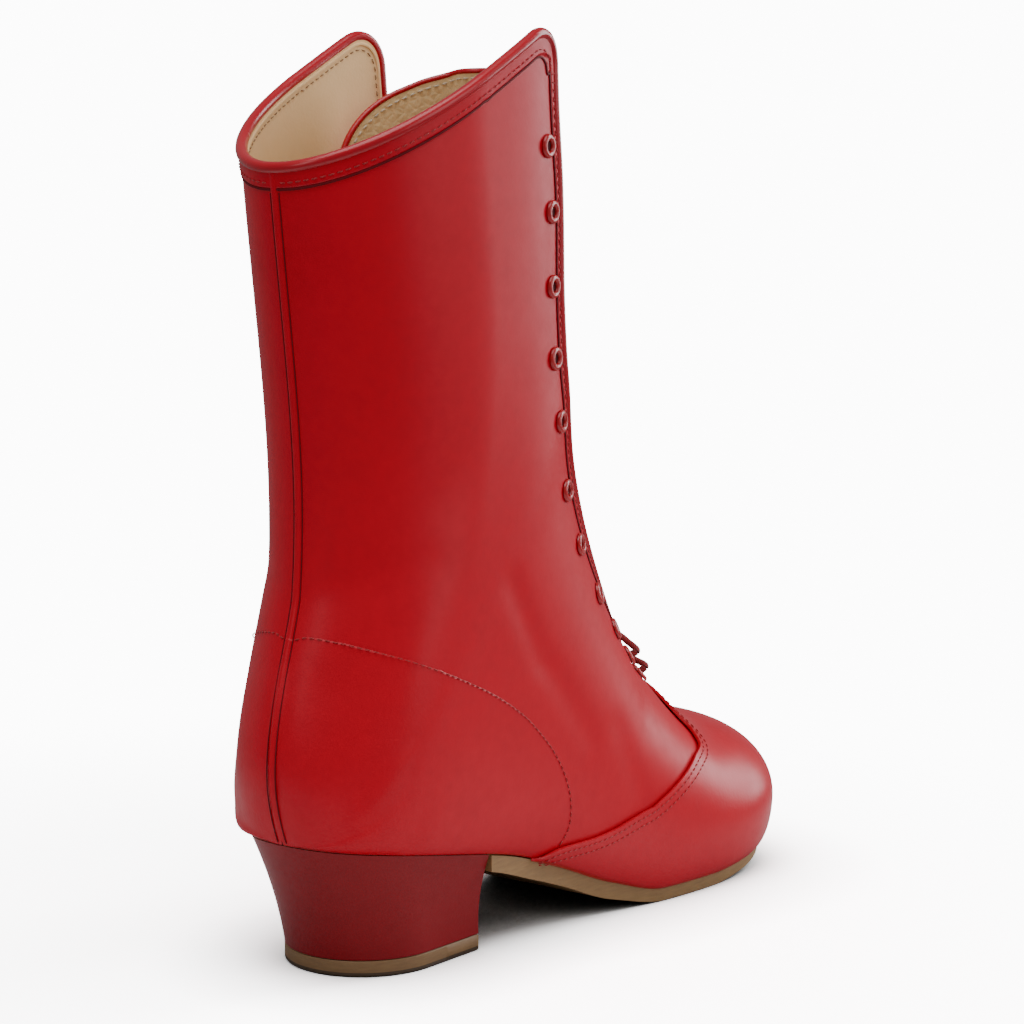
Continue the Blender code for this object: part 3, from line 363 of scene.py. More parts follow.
    def raised(self, row: np.ndarray, angle: np.ndarray, side: int, height: np.ndarray) -> np.ndarray:
        """Points at a height over the skin.

        Args:
            row: Rows.
            angle: Angles.
            side: Half of the boot.
            height: Heights in metres, or one height.

        Returns:
            Points, with the middle line kept in the middle.
        """
        row, angle, height = np.broadcast_arrays(np.asarray(row, float), np.asarray(angle, float), height)
        point = self.skin(row, angle, side)
        normal = self.normal(row, angle, side).copy()
        middle = ((angle > math.pi - 1e-6) & (row >= self.seam_row)) | (angle < 1e-6) | (row < 1e-6)
        normal[..., 0] = np.where(middle, 0.0, normal[..., 0])
        return point + unit(normal) * height[..., None]

    def throat(self, row: np.ndarray, side: int) -> np.ndarray:
        """Return distances from the middle line to the throat's outline."""
        return np.interp(row, self.rows, self.traces[side][2])

    def girth(self, row: np.ndarray, side: int) -> np.ndarray:
        """Return distances from the middle line to the lower edge."""
        return np.interp(row, self.rows, self.traces[side][0])

    def angle(self, row: np.ndarray, distance: np.ndarray, side: int) -> np.ndarray:
        """Angle at a distance along a row, read from the traced rows.

        Args:
            row: Rows.
            distance: Distances from the middle line.
            side: Half of the boot.

        Returns:
            Angles, blended between the two traced rows beside each place.
        """
        girth, inverse, _ = self.traces[side]
        row, distance = np.broadcast_arrays(np.asarray(row, float), np.asarray(distance, float))
        place = np.clip(row / self.rows[-1] * (self.trace_rows - 1), 0, self.trace_rows - 1.000001)
        i = place.astype(int)
        found = []
        for n in (0, 1):
            share = np.clip(distance / np.maximum(girth[i + n], 1e-9), 0, 1) * (inverse.shape[1] - 1)
            j = np.minimum(share.astype(int), inverse.shape[1] - 2)
            f = share - j
            found.append(inverse[i + n, j] * (1 - f) + inverse[i + n, j + 1] * f)
        return found[0] + (found[1] - found[0]) * (place - i)

    def settle(self, target: np.ndarray, rows: np.ndarray, angles: np.ndarray, side: int,
               weights: tuple = (1.0, 1.0, 1.0)) -> tuple:
        """Find the skin's nearest places to points by Gauss-Newton steps.

        Args:
            target: Points.
            rows: Rows to start from.
            angles: Angles to start from.
            side: Half of the boot.
            weights: Weight of each axis in the distance.

        Returns:
            Rows and angles.
        """
        weights = np.array(weights)
        for _ in range(12):
            along = (self.skin(rows + 0.02, angles, side) - self.skin(rows - 0.02, angles, side)) / 0.04
            around = (self.skin(rows, angles + 0.01, side) - self.skin(rows, angles - 0.01, side)) / 0.02
            miss = (target - self.skin(rows, angles, side)) * weights
            pairs = ((along, along), (around, around), (along, around))
            aa, bb, ab = (np.sum(p * q * weights, -1) for p, q in pairs)
            a, b = np.sum(along * miss, -1), np.sum(around * miss, -1)
            area = np.maximum(aa * bb - ab * ab, 1e-12)
            rows = rows + np.clip((a * bb - b * ab) / area, -0.4, 0.4)
            angles = np.clip(angles + np.clip((b * aa - a * ab) / area, -0.2, 0.2), 0.02, math.pi)
        return rows, angles

    def drop(self, distance: np.ndarray, inset: float) -> np.ndarray:
        """Drop of the collar's outline below its line: a quarter round at the throat.

        Args:
            distance: Distances from the throat.
            inset: How far the outline is moved in.

        Returns:
            Distances down the leg.
        """
        radius = self.corner - inset
        lean = np.clip(1 - (distance - inset) / radius, 0.0, 1.0)
        return inset + radius * (1 - np.sqrt(1 - lean**2))

    def collar(self, side: int, distance: np.ndarray, inset: float, below: float = 0.0) -> np.ndarray:
        """Return rows of the collar's outline moved in by an inset and down by a distance."""
        return self.collar_row - (self.drop(distance, inset) + below) / self.pitch(side, distance)

    def pitch(self, side: int, distance: np.ndarray) -> np.ndarray:
        """Length of the last row under the collar.

        Args:
            side: Half of the boot.
            distance: Distances from the throat.

        Returns:
            Metres to a row.
        """
        place = np.minimum(self.throat(self.collar_row, side) + distance, self.girth(self.collar_row, side))
        top = np.full(np.shape(place), self.collar_row)
        high, low = (self.skin(row, self.angle(row, place, side), side) for row in (top, top - 1))
        return np.linalg.norm(high - low, axis=-1)

    def edge_route(self, side: int, inset: float, collar_inset: float | None = None) -> tuple:
        """Route beside the throat and the collar, from the slit's foot to the back seam.

        Args:
            side: Half of the boot.
            inset: Distance from the throat's outline.
            collar_inset: Distance from the collar's outline, if another.

        Returns:
            Rows and angles along the route.
        """
        collar_inset = inset if collar_inset is None else collar_inset
        rows = np.linspace(*self.route_rows, 240)
        turns = np.linspace(0, math.pi / 2, 24)
        low = self.collar_row - 1.0
        distances = inset + (self.corner - inset) * (1 - np.cos(turns))
        corner_rows = self.collar(side, distances, collar_inset)
        rows = np.concatenate([rows[rows < min(corner_rows[0], low + 0.6)], corner_rows])
        near = np.full(len(rows), inset)
        near[-len(distances):] = distances
        places = self.throat(rows, side) + near
        back = self.girth(self.collar_row, side) - self.throat(self.collar_row, side)
        spread = np.linspace(self.corner, back, 90)[1:]
        spread_rows = self.collar(side, spread, collar_inset)
        share = (spread - self.corner) / (back - self.corner)
        start = self.throat(spread_rows, side) + self.corner
        spread_places = start + (self.girth(spread_rows, side) - start) * share
        rows = np.concatenate([rows, spread_rows])
        angles = self.angle(rows, np.concatenate([places, spread_places]), side)
        angles[-1] = math.pi
        return rows, angles

    def line(self, rows: np.ndarray, angles: np.ndarray, side: int, height: float) -> tuple:
        """Return points at a height over the skin, and the skin's normals there."""
        points = self.raised(rows, angles, side, np.full(len(rows), height))
        return points, self.normal(rows, angles, side)


def linear(colour: str) -> tuple:
    """Return an sRGB hex colour as linear red, green, blue and alpha."""
    parts = [int(colour[i:i + 2], 16) / 255 for i in (0, 2, 4)]
    return (*[p / 12.92 if p <= 0.04045 else ((p + 0.055) / 1.055)**2.4 for p in parts], 1.0)


def dress(tree: bpy.types.NodeTree, made: bpy.types.Node, values: dict) -> None:
    """Set or link inputs of a node.

    Args:
        tree: Node tree.
        made: Node.
        values: Input names or numbers, each with a socket to link or a value.
    """
    for key, value in values.items():
        if isinstance(value, bpy.types.NodeSocket):
            tree.links.new(value, made.inputs[key])
        else:
            made.inputs[key].default_value = value


def node(tree: bpy.types.NodeTree, kind: str, links: dict | None = None, **settings) -> bpy.types.Node:
    """Add a node.

    Args:
        tree: Node tree.
        kind: Type of the node.
        links: Input names or numbers, each with a socket to link or a value.
        **settings: Attributes of the node.

    Returns:
        The node.
    """
    made = tree.nodes.new(kind)
    for key, value in settings.items():
        setattr(made, key, value)
    dress(tree, made, links or {})
    return made


def start_material(name: str) -> tuple:
    """Start a material.

    Args:
        name: Its name.

    Returns:
        The material, its tree and its Principled shader.
    """
    made = bpy.data.materials.new(name)
    made.use_nodes = True
    return made, made.node_tree, made.node_tree.nodes["Principled BSDF"]


def ranged(tree: bpy.types.NodeTree, value: bpy.types.NodeSocket, start: float, end: float,
           low: float = 0.0, high: float = 1.0, **settings) -> bpy.types.NodeSocket:
    """Return a value carried from one range to another and held at its ends."""
    links = {"Value": value, "From Min": start, "From Max": end, "To Min": low, "To Max": high}
    return node(tree, "ShaderNodeMapRange", links, **settings).outputs[0]


def noise(tree: bpy.types.NodeTree, place: bpy.types.NodeSocket, scale: float,
          detail: float = 3.0) -> bpy.types.NodeSocket:
    """Return soft noise of a scale at each place."""
    links = {"Vector": place, "Scale": scale, "Detail": detail}
    return node(tree, "ShaderNodeTexNoise", links).outputs["Fac"]


def math_of(tree: bpy.types.NodeTree, operation: str, *values) -> bpy.types.NodeSocket:
    """Return the result of an operation on sockets or numbers."""
    return node(tree, "ShaderNodeMath", dict(enumerate(values)), operation=operation).outputs[0]


def mixed(tree: bpy.types.NodeTree, factor: bpy.types.NodeSocket, *colours) -> bpy.types.NodeSocket:
    """Mix two colours.

    Args:
        tree: Node tree.
        factor: Share of the second colour.
        *colours: Two colours, each a hex colour or a socket.

    Returns:
        The mixed colour.
    """
    made = node(tree, "ShaderNodeMix", {0: factor}, data_type="RGBA")
    for socket, colour in zip([s for s in made.inputs if s.type == "RGBA"], colours):
        if isinstance(colour, str):
            socket.default_value = linear(colour)
        else:
            tree.links.new(colour, socket)
    return [s for s in made.outputs if s.type == "RGBA"][0]


def raise_surface(tree: bpy.types.NodeTree, height: bpy.types.NodeSocket, depth: float,
                  **more) -> bpy.types.Node:
    """Return a bump of a depth in metres, with its further inputs by name."""
    return node(tree, "ShaderNodeBump", {"Height": height, "Distance": depth, **more})


@dataclass(frozen=True)
class Leather:
    """Finished leather: fine pores and creases in a dyed coat, more glossy where it is pressed."""

    name: str
    colour: str
    shade: str
    roughness: float = 0.42
    coat: float = 0.18
    grain_mm: float = 0.9
    grain_depth_mm: float = 0.035
    fold_mm: float = 0.0
    fold_depth_mm: float = 0.0
    grain_strength: float = 0.8
    pebble: bool = False
    pebble_z: tuple = (0.13, 0.095)
    pebble_y: tuple = (-0.01, 0.02)
    specular: float = 0.2
    cloud_scale: float = 26.0
    fine_scale: float = 240.0
    lip: float = 0.0003
    lip_depth: float = 0.00035

    def make(self) -> bpy.types.Material:
        """Cells of the grain's width and soft noise raise the surface; wide noise varies the dye.

        Returns:
            The material.
        """
        made, tree, shader = start_material(self.name)
        place = node(tree, "ShaderNodeTexCoord").outputs["Object"]
        cells = node(tree, "ShaderNodeTexVoronoi", {"Vector": place, "Scale": 1000 / self.grain_mm},
                     feature="SMOOTH_F1")
        pores = noise(tree, place, 700 / self.grain_mm)
        fine = noise(tree, place, self.fine_scale, 4.0)
        blend = math_of(tree, "MULTIPLY", noise(tree, place, self.cloud_scale), fine)
        edge = node(tree, "ShaderNodeAttribute", attribute_name="counter").outputs["Fac"]
        lip = ranged(tree, edge, -self.lip, self.lip)
        panel = raise_surface(tree, lip, self.lip_depth, Strength=0.9)
        height = math_of(tree, "ADD", cells.outputs["Distance"], pores)
        last = raise_surface(tree, height, self.grain_depth_mm / 1000, Strength=self.strength(tree, place),
                             Normal=panel.outputs[0])
        if self.fold_mm:
            folds = node(tree, "ShaderNodeTexVoronoi", {"Vector": place, "Scale": 1000 / self.fold_mm},
                         feature="DISTANCE_TO_EDGE")
            last = raise_surface(tree, folds.outputs["Distance"], self.fold_depth_mm / 1000, Strength=0.7,
                                 Normal=last.outputs[0])
        dress(tree, shader, {
            "Base Color": mixed(tree, blend, self.colour, self.shade),
            "Roughness": ranged(tree, fine, 0.0, 1.0, self.roughness - 0.06, self.roughness + 0.08),
            "Coat Weight": self.coat,
            "Coat Roughness": 0.28,
            "Specular IOR Level": self.specular,
            "Normal": last.outputs[0],
        })
        return made

    def strength(self, tree: bpy.types.NodeTree, place: bpy.types.NodeSocket) -> float | bpy.types.NodeSocket:
        """Strength of the grain, which grows towards the heel in pebbled leather.

        Args:
            tree: Node tree.
            place: Object coordinates.

        Returns:
            A number, or a socket for pebbled leather.
        """
        if not self.pebble:
            return self.grain_strength
        parts = node(tree, "ShaderNodeSeparateXYZ", {0: place})
        up = ranged(tree, parts.outputs[2], *self.pebble_z)
        back = ranged(tree, parts.outputs[1], *self.pebble_y)
        return math_of(tree, "MULTIPLY_ADD", math_of(tree, "MULTIPLY", up, back), 0.55, 0.45)


@dataclass(frozen=True)
class Sole:
    """Bare sole leather: tan, brushed along its edge, darker towards the bottom."""

    name: str
    colour: str
    shade: str
    dark_below: float = 0.0
    bottom_colour: str = "4a3826"

    def make(self) -> bpy.types.Material:
        """Streaks stretched along the edge tint and raise the surface; a dark layer lies below.

        Returns:
            The material.
        """
        made, tree, shader = start_material(self.name)
        place = node(tree, "ShaderNodeTexCoord").outputs["Object"]
        stretched = node(tree, "ShaderNodeMapping", {"Vector": place, "Scale": (1.0, 1.0, 7.0)})
        streak = noise(tree, stretched.outputs[0], 180.0, 5.0)
        height = node(tree, "ShaderNodeSeparateXYZ", {0: place}).outputs[2]
        low = ranged(tree, height, self.dark_below + 0.0002, self.dark_below)
        dress(tree, shader, {
            "Base Color": mixed(tree, low, mixed(tree, streak, self.colour, self.shade), self.bottom_colour),
            "Roughness": 0.52,
            "Normal": raise_surface(tree, streak, 0.00008).outputs[0],
        })
        return made


@dataclass(frozen=True)
class Thread:
    """Twisted thread or woven cord: strands run round it at a slant, matte with a soft fuzz."""

    name: str
    colour: str
    shade: str
    strand_mm: float = 0.6
    roughness: float = 0.7

    def make(self) -> bpy.types.Material:
        """Slanting bands of the strand's width shade and raise the surface.

        Returns:
            The material.
        """
        made, tree, shader = start_material(self.name)
        run = node(tree, "ShaderNodeTexCoord").outputs["UV"]
        bands = node(tree, "ShaderNodeTexWave", {"Vector": run, "Distortion": 0.4,
                                                 "Scale": 1000 / self.strand_mm / 6.2832 * 2},
                     bands_direction="DIAGONAL").outputs["Fac"]
        dress(tree, shader, {
            "Base Color": mixed(tree, bands, self.shade, self.colour),
            "Roughness": self.roughness,
            "Sheen Weight": 0.2,
            "Normal": raise_surface(tree, bands, 0.00009).outputs[0],
        })
        return made


@dataclass(frozen=True)
class Enamel:
    """Enamelled brass of the eyelets: a hard gloss coat with small wear marks."""

    name: str
    colour: str
    shade: str

    def make(self) -> bpy.types.Material:
        """Fine noise varies the coat's colour and roughness.

        Returns:
            The material.
        """
        made, tree, shader = start_material(self.name)
        wear = noise(tree, node(tree, "ShaderNodeTexCoord").outputs["Object"], 900.0)
        dress(tree, shader, {
            "Base Color": mixed(tree, wear, self.colour, self.shade),
            "Roughness": ranged(tree, wear, 0.0, 1.0, 0.22, 0.4),
            "Coat Weight": 0.3,
        })
        return made


class Finishes:
    """Every finish of the boot, made once."""

    def __init__(self) -> None:
        """Make the materials."""
        self.red = Leather("smooth_red_calf", "c60020", "a60019", roughness=0.39, coat=0.08,
                           pebble=True).make()
        self.vamp = Leather("red_vamp_calf", "c60020", "a8001a", roughness=0.36, coat=0.3).make()
        self.binding = Leather("red_binding_calf", "b4001a", "900014", roughness=0.24, coat=0.6,
                               grain_mm=1.3, grain_depth_mm=0.05).make()
        self.heel = Leather("red_heel_cover", "8c0210", "74020d", roughness=0.42, grain_mm=0.7).make()
        # dark finish of the band's cut edge and of the painted groove shade beside the back seam
        self.edge = Leather("dark_red_cut_edge", "6a0410", "4c030b", roughness=0.6, coat=0.0).make()
        # painted shade: finish of the dark discs that stand for the shade inside the eyelets
        self.hole = Leather("shade_in_eyelets", "4a040c", "300308", roughness=0.8, coat=0.0).make()
        self.lining = Leather("beige_lining_leather", "f8d09a", "e8bf88", roughness=0.62, coat=0.0,
                              grain_depth_mm=0.03).make()
        self.tongue = Leather("gold_crinkled_lining", "f4d6a4", "cba873", roughness=0.42, coat=0.15,
                              grain_mm=1.1, grain_depth_mm=0.12, fold_mm=2.4, fold_depth_mm=0.6).make()
        self.sole = Sole("tan_sole_leather", "a07c4e", "7d5c36").make()
        self.top_piece = Sole("tan_top_piece", "93714a", "765637", 0.0012).make()
        self.red_thread = Thread("red_thread", "b80614", "8c0510").make()
        self.light_thread = Thread("ecru_thread", "e8ddc8", "bda988").make()
        self.brown_thread = Thread("brown_thread", "b08a5e", "8a6640").make()
        self.lace = Thread("red_woven_lace", "a00812", "6c060d", 0.6).make()
        self.enamel = Enamel("red_enamelled_brass", "c00814", "94060f").make()


def sheet_faces(rows: int, columns: int, closed: bool = False) -> np.ndarray:
    """Quads of a grid, row by row.

    Args:
        rows: Rows of points.
        columns: Points in a row.
        closed: True if each row closes on itself.

    Returns:
        An array of four point numbers for each quad.
    """
    i, j = np.meshgrid(np.arange(rows - 1), np.arange(columns if closed else columns - 1), indexing="ij")
    k = (j + 1) % columns
    faces = np.stack([i * columns + j, i * columns + k, (i + 1) * columns + k, (i + 1) * columns + j], -1)
    return faces.reshape(-1, 4)


class Piece:
    """A mesh worked out as arrays, which rides on the boot."""

    def __init__(self, name: str) -> None:
        """Start an empty piece.

        Args:
            name: Name of its object.
        """
        self.name = name
        self.points: list = []
        self.faces: list = []
        self.uvs: list = []
        self.counter: list = []
        self.marks: list = []
        self.count = 0

    def add(self, points: np.ndarray, faces: np.ndarray, uv: np.ndarray | None = None,
            counter: np.ndarray | None = None, look: int = 0) -> None:
        """Add points with their faces.

        Args:
            points: Points, any grid shape.
            faces: Faces that number these points from 0.
            uv: A pair for each point, in metres.
            counter: Signed distance to the counter's edge at each point.
            look: Number of the faces' material.
        """
        self.marks.append((len(self.faces), len(self.faces) + len(faces), look))
        flat = np.asarray(points, dtype=float).reshape(-1, 3)
        uv = np.zeros((len(flat), 2)) if uv is None else np.asarray(uv, dtype=float)
        counter = np.full(len(flat), -1.0) if counter is None else np.asarray(counter)
        self.points.append(flat)
        self.faces.extend((np.asarray(faces) + self.count).tolist())
        self.uvs.append(uv.reshape(-1, 2))
        self.counter.append(counter.reshape(-1))
        self.count += len(flat)

    def add_capped(self, rings: np.ndarray) -> None:
        """Add closed rings of points, the first and the last one filled with faces across it.

        Args:
            rings: Grid of points, a ring in each row.
        """
        levels, count = rings.shape[:2]
        self.add(rings, sheet_faces(levels, count, closed=True), rings[..., :2])
        for start in (0, (levels - 1) * count):
            for a in range(start, start + (count - 1) // 2):
                b = 2 * start + count - 1 - a
                self.faces.append([a, a + 1, b - 1, b] if a + 1 < b - 1 else [a, a + 1, b])

    def build(self, looks: list, slot: str, replaced: tuple = (), weld: bool = False,
              sharp: float = 42.0) -> bpy.types.Object:
        """Make the object, dress it and tie it to the boot.

        Args:
            looks: Materials of its slots.
            slot: Name of a slot; not used.
            replaced: Solids that it stands for.
            weld: True to merge doubles and turn the faces out.
            sharp: Angle in degrees past which an edge stays sharp.

        Returns:
            The object.
        """
        mesh = bpy.data.meshes.new(self.name)
        points = np.concatenate(self.points)
        mesh.from_pydata(points, [], self.faces)
        looked = np.zeros(len(self.faces), dtype=np.int32)
        for first, end, look in self.marks:
            looked[first:end] = look
        mesh.polygons.foreach_set("material_index", looked)
        uv = mesh.uv_layers.new(name="run")
        corner = np.empty(len(mesh.loops), dtype=np.int32)
        mesh.loops.foreach_get("vertex_index", corner)
        uv.data.foreach_set("uv", np.concatenate(self.uvs)[corner].astype(np.float32).ravel())
        edge = mesh.attributes.new("counter", "FLOAT", "POINT")
        edge.data.foreach_set("value", np.concatenate(self.counter).astype(np.float32))
        if weld:
            work = bmesh.new()
            work.from_mesh(mesh)
            bmesh.ops.remove_doubles(work, verts=work.verts, dist=0.00002)
            bmesh.ops.dissolve_degenerate(work, edges=work.edges, dist=0.00001)
            bmesh.ops.recalc_face_normals(work, faces=work.faces)
            work.to_mesh(mesh)
            work.free()
        mesh.shade_smooth()
        mesh.set_sharp_from_angle(angle=math.radians(sharp))
        for look in looks:
            mesh.materials.append(look)
        made = bpy.data.objects.new(self.name, mesh)
        bpy.context.scene.collection.objects.link(made)
        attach(made, BODY)
        if replaced:
            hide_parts(*replaced)
        log.info("%s: %d faces", self.name, len(mesh.polygons))
        return made


def give_wall(made: bpy.types.Object, thickness: float) -> None:
    """Thicken a sheet outwards.

    Args:
        made: Sheet.
        thickness: Thickness in metres.
    """
    wall = made.modifiers.new("wall", "SOLIDIFY")
    wall.thickness = thickness
    wall.offset = 1.0
    wall.use_even_offset = True
    wall.use_quality_normals = True


def round_edges(made: bpy.types.Object, width: float, segments: int = 2, angle: float = 50.0) -> None:
    """Round the sharp edges of a piece.

    Args:
        made: Piece.
        width: Width of the rounding.
        segments: Faces across the rounding.
        angle: Angle in degrees past which an edge is rounded.
    """
    edge = made.modifiers.new("edges", "BEVEL")
    edge.width = width
    edge.segments = segments
    edge.limit_method = "ANGLE"
    edge.angle_limit = math.radians(angle)


def skin_uv(rows: np.ndarray, angles: np.ndarray) -> np.ndarray:
    """Return places on the skin as rough metres across and along."""
    return np.stack([angles * 0.03, rows * 0.012], -1)


def walled(piece: Piece, outer: np.ndarray, inner: np.ndarray, uv: np.ndarray,
           counter: np.ndarray | None = None,
           strips: tuple = (np.s_[:, 0], np.s_[:, -1], np.s_[0], np.s_[-1])) -> None:
    """Close two sheets into a wall: slot 0 outside, slot 1 inside and slot 2 round the rim.

    Args:
        piece: Piece that takes the wall.
        outer: Grid of the outer face.
        inner: Grid of the inner face.
        uv: Grid of pairs for both faces.
        counter: Signed distance to the counter's edge on the outer face.
        strips: Parts of the grid's edge that the rim closes.
    """
    sheet = sheet_faces(*outer.shape[:2])
    piece.add(outer, sheet, uv, counter)
    piece.add(inner, sheet[:, ::-1], uv, look=1)
    for strip in strips:
        edge = np.stack([outer[strip], inner[strip]])
        piece.add(edge, sheet_faces(2, edge.shape[1]), look=2)


def swept(piece: Piece, path: np.ndarray, normals: np.ndarray, width: float, height: float,
          sides: int = 12) -> None:
    """Carry an ellipse along a path, its short axis on the path's normals, with domed ends.

    Args:
        piece: Piece that takes the tube.
        path: Points of the middle line.
        normals: Directions across the path.
        width: Full width across the normal.
        height: Full height along the normal.
        sides: Points round the tube.
    """
    tangent = unit(np.gradient(path, axis=0))
    across = unit(np.cross(tangent, normals))
    up = np.cross(across, tangent)
    turn = np.linspace(0, 2 * math.pi, sides, endpoint=False)
    grow = np.ones(len(path) + 2)
    grow[[0, -1]] = 0.35
    tip = 0.3 * min(width, height)
    path = np.concatenate([[path[0] - tangent[0] * tip], path, [path[-1] + tangent[-1] * tip]])
    across = np.concatenate([across[:1], across, across[-1:]])
    up = np.concatenate([up[:1], up, up[-1:]])
    ring = 0.5 * width * np.cos(turn)[None, :, None] * across[:, None, :]
    ring = ring + 0.5 * height * np.sin(turn)[None, :, None] * up[:, None, :]
    points = path[:, None, :] + grow[:, None, None] * ring
    run = run_length(path)
    uv = np.stack(np.broadcast_arrays(run[:, None], (turn * 0.25 * (width + height))[None, :]), -1)
    start = piece.count
    piece.add(points, sheet_faces(len(path), sides, closed=True), uv)
    piece.faces.append(list(range(start, start + sides))[::-1])
    piece.faces.append(list(range(piece.count - sides, piece.count)))


def stitched(piece: Piece, points: np.ndarray, normals: np.ndarray, pitch: float = 0.0026,
             length: float = 0.0019, width: float = 0.00042) -> None:
    """Lay short rounded stitches along a line, at equal steps, half sunk in the leather.

    Args:
        piece: Piece that takes the stitches.
        points: Dense points of the line on the leather.
        normals: The leather's normals there.
        pitch: Distance from stitch to stitch.
        length: Length of a stitch.
        width: Width of the thread.
    """
    run = run_length(points)
    count = max(2, int(run[-1] / pitch))
    at = (np.arange(count) + 0.5) * run[-1] / count
    place = columns_at(at, run, points)
    normal = unit(columns_at(at, run, normals))
    tangent = unit(columns_at(at, run, np.gradient(points, run, axis=0)))
    across = np.cross(normal, tangent)
    along = np.array([-0.5, -0.38, 0.0, 0.38, 0.5]) * length
    size = np.array([0.25, 0.8, 1.0, 0.8, 0.25]) * 0.5 * width
    lift = np.array([-0.55, 0.25, 0.6, 0.25, -0.55]) * 0.5 * width
    turn = np.linspace(0, 2 * math.pi, 6, endpoint=False)
    a = along[:, None] + 0 * turn[None, :]
    b = size[:, None] * np.cos(turn)[None, :]
    c = lift[:, None] + size[:, None] * np.sin(turn)[None, :]
    body = place[:, None, None, :] + tangent[:, None, None, :] * a[None, :, :, None]
    body = body + across[:, None, None, :] * b[None, :, :, None]
    body = body + normal[:, None, None, :] * c[None, :, :, None]
    one = sheet_faces(5, 6, closed=True)
    faces = (one[None, :, :] + (np.arange(count) * 30)[:, None, None]).reshape(-1, 4)
    uv = np.stack(np.broadcast_arrays(a[None] + at[:, None, None], (turn * width)[None, None, :]), -1)
    piece.add(body, faces, uv)


